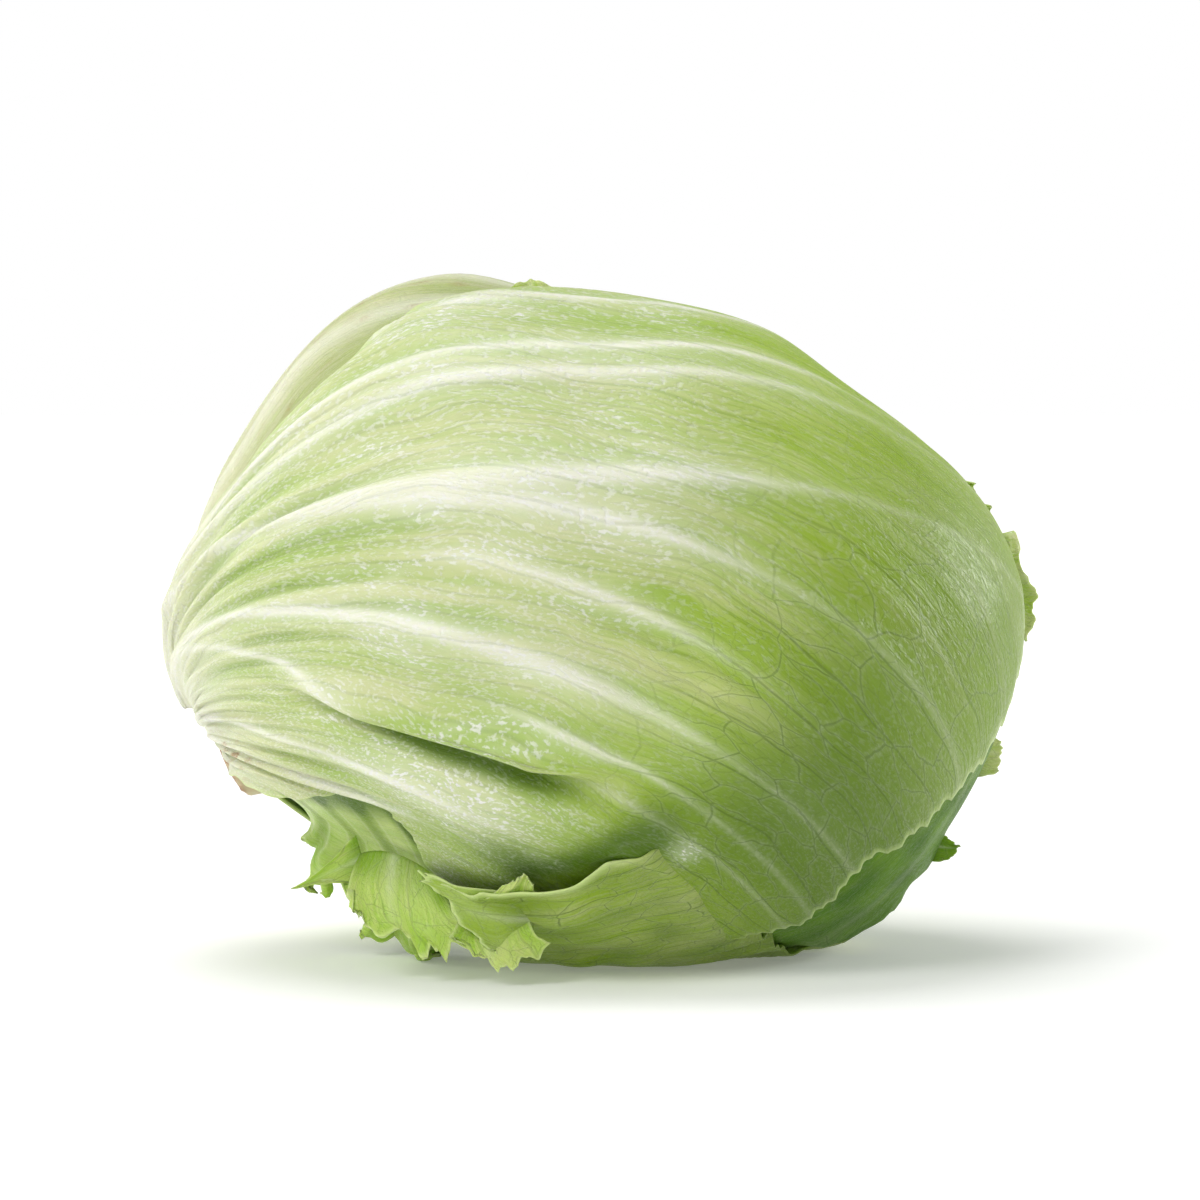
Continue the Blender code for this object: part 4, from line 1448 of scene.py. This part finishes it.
@dataclass
class StemStub:
    """The cut stub of the stem in the butt."""

    radius: float = 13.0 * MM
    recess: float = 1.0 * MM
    depth: float = 7.7 * MM
    rings: int = 60
    turns: int = 96
    rim: float = 0.62
    dish: float = 0.9 * MM
    finish: StemFinish = StemFinish()

    def build(self) -> bpy.types.Object:
        """Builds the stub: a dished face with a knife's shallow ridges, a rounded rim and a wall.

        The profile is carried round the butt's axis, with its radius swelled by slow waves.

        Returns:
            The new piece.
        """
        around = np.linspace(0.0, math.tau, self.turns + 1)[:-1]
        share, turn = np.meshgrid(np.linspace(0.0, 1.0, self.rings), around)
        out = np.clip(share / self.rim, 0.0, 1.0)
        down = np.clip((share - self.rim) / (1.0 - self.rim), 0.0, 1.0)
        wobble = 1.0 + 0.03 * np.sin(3.0 * turn + 0.5) + 0.02 * np.sin(5.0 * turn)
        radius = self.radius * (0.02 + 0.98 * out**0.9) * wobble + 0.6 * MM * down
        radius = radius - 1.0 * MM * hump(share, self.rim, 0.03)
        x, y = radius * np.cos(turn) / MM, radius * np.sin(turn) / MM
        face = FORM.radius(FORM.butt) - self.recess
        height = face - self.dish * (1.0 - out**2) - (self.depth - self.recess) * down
        ridges = 0.18 * np.sin(x / 1.1) + 0.2 * wander(x / 5.0, y / 5.0, 91)
        height = height + ridges * MM * (1.0 - down) * ease(out, 1.0, 0.9)
        side = np.cos(turn)[..., None] * FORM.frontward + np.sin(turn)[..., None] * FORM.downward
        mesh = self.close(np.array(FORM.centre) + height[..., None] * FORM.butt + radius[..., None] * side)
        rust = np.clip(ease(out, 0.55, 1.0) + 0.35 * wander(x / 6.0, y / 6.0, 92), 0.0, 1.0)
        rust = rust * (1.0 - 0.75 * ease(down, 0.05, 0.3))
        ring = hump(out, 0.62, 0.06) + 0.6 * ease(out, 0.5, 0.8)
        for name, values in (("brown", rust), ("green", ring)):
            add_mask(mesh, name, np.concatenate([values.ravel(), [0.0, 1.0]]))
        piece = new_object("stem_stub", mesh)
        mesh.materials.append(self.finish.material())
        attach(piece, "root")
        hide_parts("stem")
        return piece

    def close(self, points: Array) -> bpy.types.Mesh:
        """Mesh of the turned profile, closed at both ends by a fan of triangles round its axis.

        Args:
            points: Points of the profile, by turn and by ring.

        Returns:
            The mesh, whose last two vertices are the middles of its ends.
        """
        turns, rings = points.shape[:2]
        corner = np.arange(turns * rings).reshape(turns, rings)
        after = np.roll(corner, -1, axis=0)
        quads = np.stack([corner[:, :-1], corner[:, 1:], after[:, 1:], after[:, :-1]], axis=-1).reshape(-1, 4)
        top, foot = turns * rings, turns * rings + 1
        caps = [(top, a, b) for a, b in zip(corner[:, 0].tolist(), after[:, 0].tolist())]
        caps = caps + [(foot, b, a) for a, b in zip(corner[:, -1].tolist(), after[:, -1].tolist())]
        ends = np.stack([points[:, 0].mean(axis=0), points[:, -1].mean(axis=0)])
        mesh = bpy.data.meshes.new("stem_stub")
        mesh.from_pydata(np.concatenate([points.reshape(-1, 3), ends]).tolist(), [], quads.tolist() + caps)
        mesh.shade_smooth()
        mesh.update()
        return mesh


@dataclass
class Heart:
    """The dense middle, which keeps its solid and gets a finish."""

    pale: Colour = (0.70, 0.76, 0.42)
    green: Colour = (0.42, 0.56, 0.16)

    def dress(self) -> bpy.types.Object:
        """Gives the solid a finish of pale folded leaves, from Object coordinates.

        Returns:
            The dressed solid.
        """
        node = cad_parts["heart"]
        material, shader, paint = Paint.material("heart_leaf")
        place = paint.node("ShaderNodeTexCoord").outputs["Object"]
        cloud = paint.noise(place, 60.0, 5.0)
        streak = paint.noise(paint.scaled(place, (60.0, 420.0, 420.0)), 1.0, 3.0)
        both = paint.math("MULTIPLY_ADD", streak, 0.5, paint.math("MULTIPLY", cloud, 0.6))
        paint.put(shader.inputs["Base Color"], paint.mix(paint.step(both, 0.35, 0.75), self.pale, self.green))
        paint.put(shader.inputs["Roughness"], paint.step(streak, 0.3, 0.7, (0.35, 0.55)))
        paint.bump(shader, streak, 1.0)
        node.data.materials.clear()
        node.data.materials.append(material)
        return node


@dataclass
class Studio:
    """Plain pale floor, soft studio light and the camera."""

    target: Place = (0.0, 0.0, 66.5 * MM)
    away: float = 1.2
    elevation: float = 4.0
    sensor: float = 36.0
    frame_width: float = 0.24
    shift: tuple[float, float] = (-0.001, 20.0 / 1200.0)
    floor_size: float = 3.0
    floor_height: float = -0.2 * MM
    floor_grey: float = 0.93
    floor_glow: tuple[float, float] = (0.16, 0.68)
    sky: float = 0.36
    lamps: tuple[tuple[str, Place, float, float], ...] = (
        ("key", (-0.75, -0.95, 0.95), 0.6, 8.8),
        ("top", (-0.2, 0.2, 1.3), 0.8, 8.8),
        ("left_rim", (-1.1, 0.5, 0.3), 0.5, 4.0),
        ("right_rim", (1.1, 0.6, 0.4), 0.5, 7.0),
    )

    def camera(self) -> bpy.types.Object:
        """The camera, level with the head's middle and a little above it.

        Returns:
            The camera's object.
        """
        lens = bpy.data.cameras.new("camera")
        lens.sensor_width = self.sensor
        lens.lens = self.sensor * self.away / self.frame_width
        lens.shift_x, lens.shift_y = self.shift
        camera = new_object("camera", lens)
        rise = math.radians(self.elevation)
        step = Vector((0.0, -self.away * math.cos(rise), self.away * math.sin(rise)))
        camera.location = Vector(self.target) + step
        camera.rotation_euler = (-step).to_track_quat("-Z", "Y").to_euler()
        bpy.context.scene.camera = camera
        return camera

    def floor(self) -> bpy.types.Object:
        """A wide pale floor that glows faintly, so that the shadow on it stays soft.

        Returns:
            The floor's object.
        """
        mesh = bpy.data.meshes.new("floor")
        signs = ((-1, -1), (1, -1), (1, 1), (-1, 1))
        corners = [(x * self.floor_size, y * self.floor_size, self.floor_height) for x, y in signs]
        mesh.from_pydata(corners, [], [(0, 1, 2, 3)])
        floor = new_object("floor", mesh)
        material, shader, paint = Paint.material("pale_floor")
        paint.put(shader.inputs["Base Color"], (self.floor_grey,) * 3)
        shader.inputs["Roughness"].default_value = 0.7
        place = paint.node("ShaderNodeTexCoord").outputs["Object"]
        span = paint.call("ShaderNodeVectorMath", (place,), operation="LENGTH")
        far = paint.step(span.outputs["Value"], 0.25, 1.3)
        near_glow, far_glow = self.floor_glow
        paint.put(shader.inputs["Emission Color"], paint.mix(far, (near_glow,) * 3, (far_glow,) * 3))
        shader.inputs["Emission Strength"].default_value = 1.0
        mesh.materials.append(material)
        return floor

    def lamp(self, name: str, place: Place, size: float, power: float) -> bpy.types.Object:
        """A square soft light that faces the head.

        Args:
            name: Name of the light.
            place: Where it hangs.
            size: Length of its sides.
            power: Its power in watts.

        Returns:
            The light's object.
        """
        light = bpy.data.lights.new(name, "AREA")
        light.size = size
        light.energy = power
        lamp = new_object(name, light)
        lamp.location = place
        lamp.rotation_euler = (Vector(self.target) - Vector(place)).to_track_quat("-Z", "Y").to_euler()
        return lamp

    def build(self) -> None:
        """Puts up the camera, the floor, the lights and the pale surroundings."""
        self.camera()
        self.floor()
        for lamp in self.lamps:
            self.lamp(*lamp)
        world = bpy.data.worlds.new("surroundings")
        world.use_nodes = True
        paint = Paint(world.node_tree)
        sky = world.node_tree.nodes["Background"]
        paint.put(sky.inputs["Color"], (1.0, 1.0, 1.0))
        seen = paint.node("ShaderNodeLightPath").outputs["Is Camera Ray"]
        paint.put(sky.inputs["Strength"], paint.math("MULTIPLY_ADD", seen, 1.0 - self.sky, self.sky))
        bpy.context.scene.world = world
        bpy.context.scene.view_settings.view_transform = "Standard"


OUTER = LeafFinish("outer_leaf")
BRIGHT = LeafFinish("frilled_leaf_green", pale=(0.60, 0.72, 0.22), green=(0.36, 0.59, 0.035),
                    edge=(0.66, 0.82, 0.30), glow=0.3)
DARK = LeafFinish("dark_leaf_green", pale=(0.22, 0.38, 0.02), green=(0.10, 0.24, 0.004), deep=(0.04, 0.12, 0.003),
                  edge=(0.36, 0.52, 0.13), fleck_strength=0.03, roughness=0.45, gloss=0.1, coat=0.03)
TOP = LeafFinish("top_leaf_green", pale=(0.62, 0.63, 0.36), green=(0.40, 0.50, 0.12))
UNDER = LeafFinish("under_leaf_green")
CUFF = LeafFinish("cuff_green", pale=(0.42, 0.56, 0.14))
BACK = LeafFinish("back_leaf_green")


def lettuce_leaves() -> list[Leaf]:
    """The six leaves, in the order of the pieces."""
    front = FrontLeaf("front_leaf", "leaf_front", OUTER, rows=150, columns=300)
    return [
        front,
        TopLeaf("top_leaf", "leaf_top", TOP, 90, 110, Layer.SECOND),
        FrilledLeaf("frilled_leaf", "leaf_frilled", BRIGHT, 260, 100, Layer.SECOND),
        DarkLeaf("dark_leaf", "leaf_dark", DARK, 110, 100, Layer.THIRD),
        UnderLeaf("under_leaf", "leaf_under", UNDER, 140, 120, Layer.UNDER, above=front),
        BackLeaf("back_leaf", "leaf_back", BACK, 120, 140),
    ]


def lettuce_flaps() -> list[Flap]:
    """The small torn bits that stand off the edges."""
    return [
        Flap("frill_spike_left", "leaf_frilled", BRIGHT, ((-48, -28, 26), (-45, -35, 17)),
             ((-58, -35, 18), (-61, -37, 17), (-58, -38, 16.5)), taper=0.85, jag=0.08, bulge=1.0, seed=109),
        Flap("frill_spike_low", "leaf_frilled", BRIGHT, ((-51, -33, 19), (-47, -36, 18)),
             ((-47.6, -40, 11), (-46.6, -40, 11)), taper=0.8, bulge=0.5, ruffle=0.3, seed=113),
        Flap("frill_lobe", "leaf_frilled", BRIGHT, ((-47, -31, 23), (-40, -38, 26), (-31, -43, 19)),
             ((-48, -41, 15), (-45, -47, 8), (-33, -50, 2), (-22, -51, 8.5)), teeth=5.0, jag=0.22, bulge=2.5,
             ruffle=1.2, seed=101),
        Flap("floor_lobe", "leaf_frilled", BRIGHT, ((-27, -47, 13), (-15, -50, 15)),
             ((-29, -51, 9), (-24, -55, 2.5), (-15, -56, 2.5), (-9, -53, 7)), bulge=2.0, seed=103),
        Flap("cuff_flap", "leaf_under", CUFF, ((-13, -53.5, 18), (-13, -49.5, 6)),
             ((-37, -47.5, 21.5), (-30, -51.5, 16), (-21, -54.5, 6)), teeth=3.0, jag=0.1, ruffle=0.5, seed=107),
        Flap("cuff_curl", "leaf_under", BRIGHT, ((-22.5, -55, 16.5), (-12.5, -56.5, 17.5)),
             ((-17, -58, 21.2), (-13, -58.5, 22)), taper=0.4, bulge=0.6, ruffle=0.4, seed=105),
        Flap("rim_tag_upper", "leaf_back", OUTER, ((80, 12, 83), (83, 12, 73), (83, 12, 62)),
             ((83, 16, 83.5), (88.5, 15, 74), (88, 14, 61)), teeth=3.0, jag=0.25, bulge=0.5, seed=127),
        Flap("rim_tag_middle", "leaf_back", OUTER, ((76, 10, 43), (76, 10, 34)),
             ((81.5, 14, 42), (81.5, 14, 35)), taper=0.3, bulge=0.4, ruffle=0.3, seed=131),
        Flap("rim_tag_low", "leaf_dark", DARK, ((66, 0, 24), (66, 0, 18)),
             ((72.5, 2, 22), (72, 2, 18.5)), taper=0.5, bulge=0.4, ruffle=0.3, seed=137),
        Flap("top_tip", "leaf_top", OUTER, ((-18, -13, 132), (-8, -15, 132)),
             ((-17, -10, 134.9), (-11, -11, 134.8)), taper=0.6, jag=0.05, bulge=0.4, ruffle=0.3, seed=139),
    ]


def main() -> None:
    """Builds every piece in order, reports it, and puts up the studio."""
    logging.basicConfig(level=logging.INFO, format="%(message)s")
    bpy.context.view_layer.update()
    for leaf in lettuce_leaves():
        piece = leaf.build()
        LOG.info("%s: %d faces", piece.name, len(piece.data.polygons))
    for flap in lettuce_flaps():
        piece = flap.build()
        LOG.info("%s: %d faces", piece.name, len(piece.data.polygons))
    LOG.info("%s: %d faces", "stem", len(StemStub().build().data.polygons))
    LOG.info("%s: dressed", Heart().dress().name)
    Studio().build()


if __name__ == "__main__":
    main()
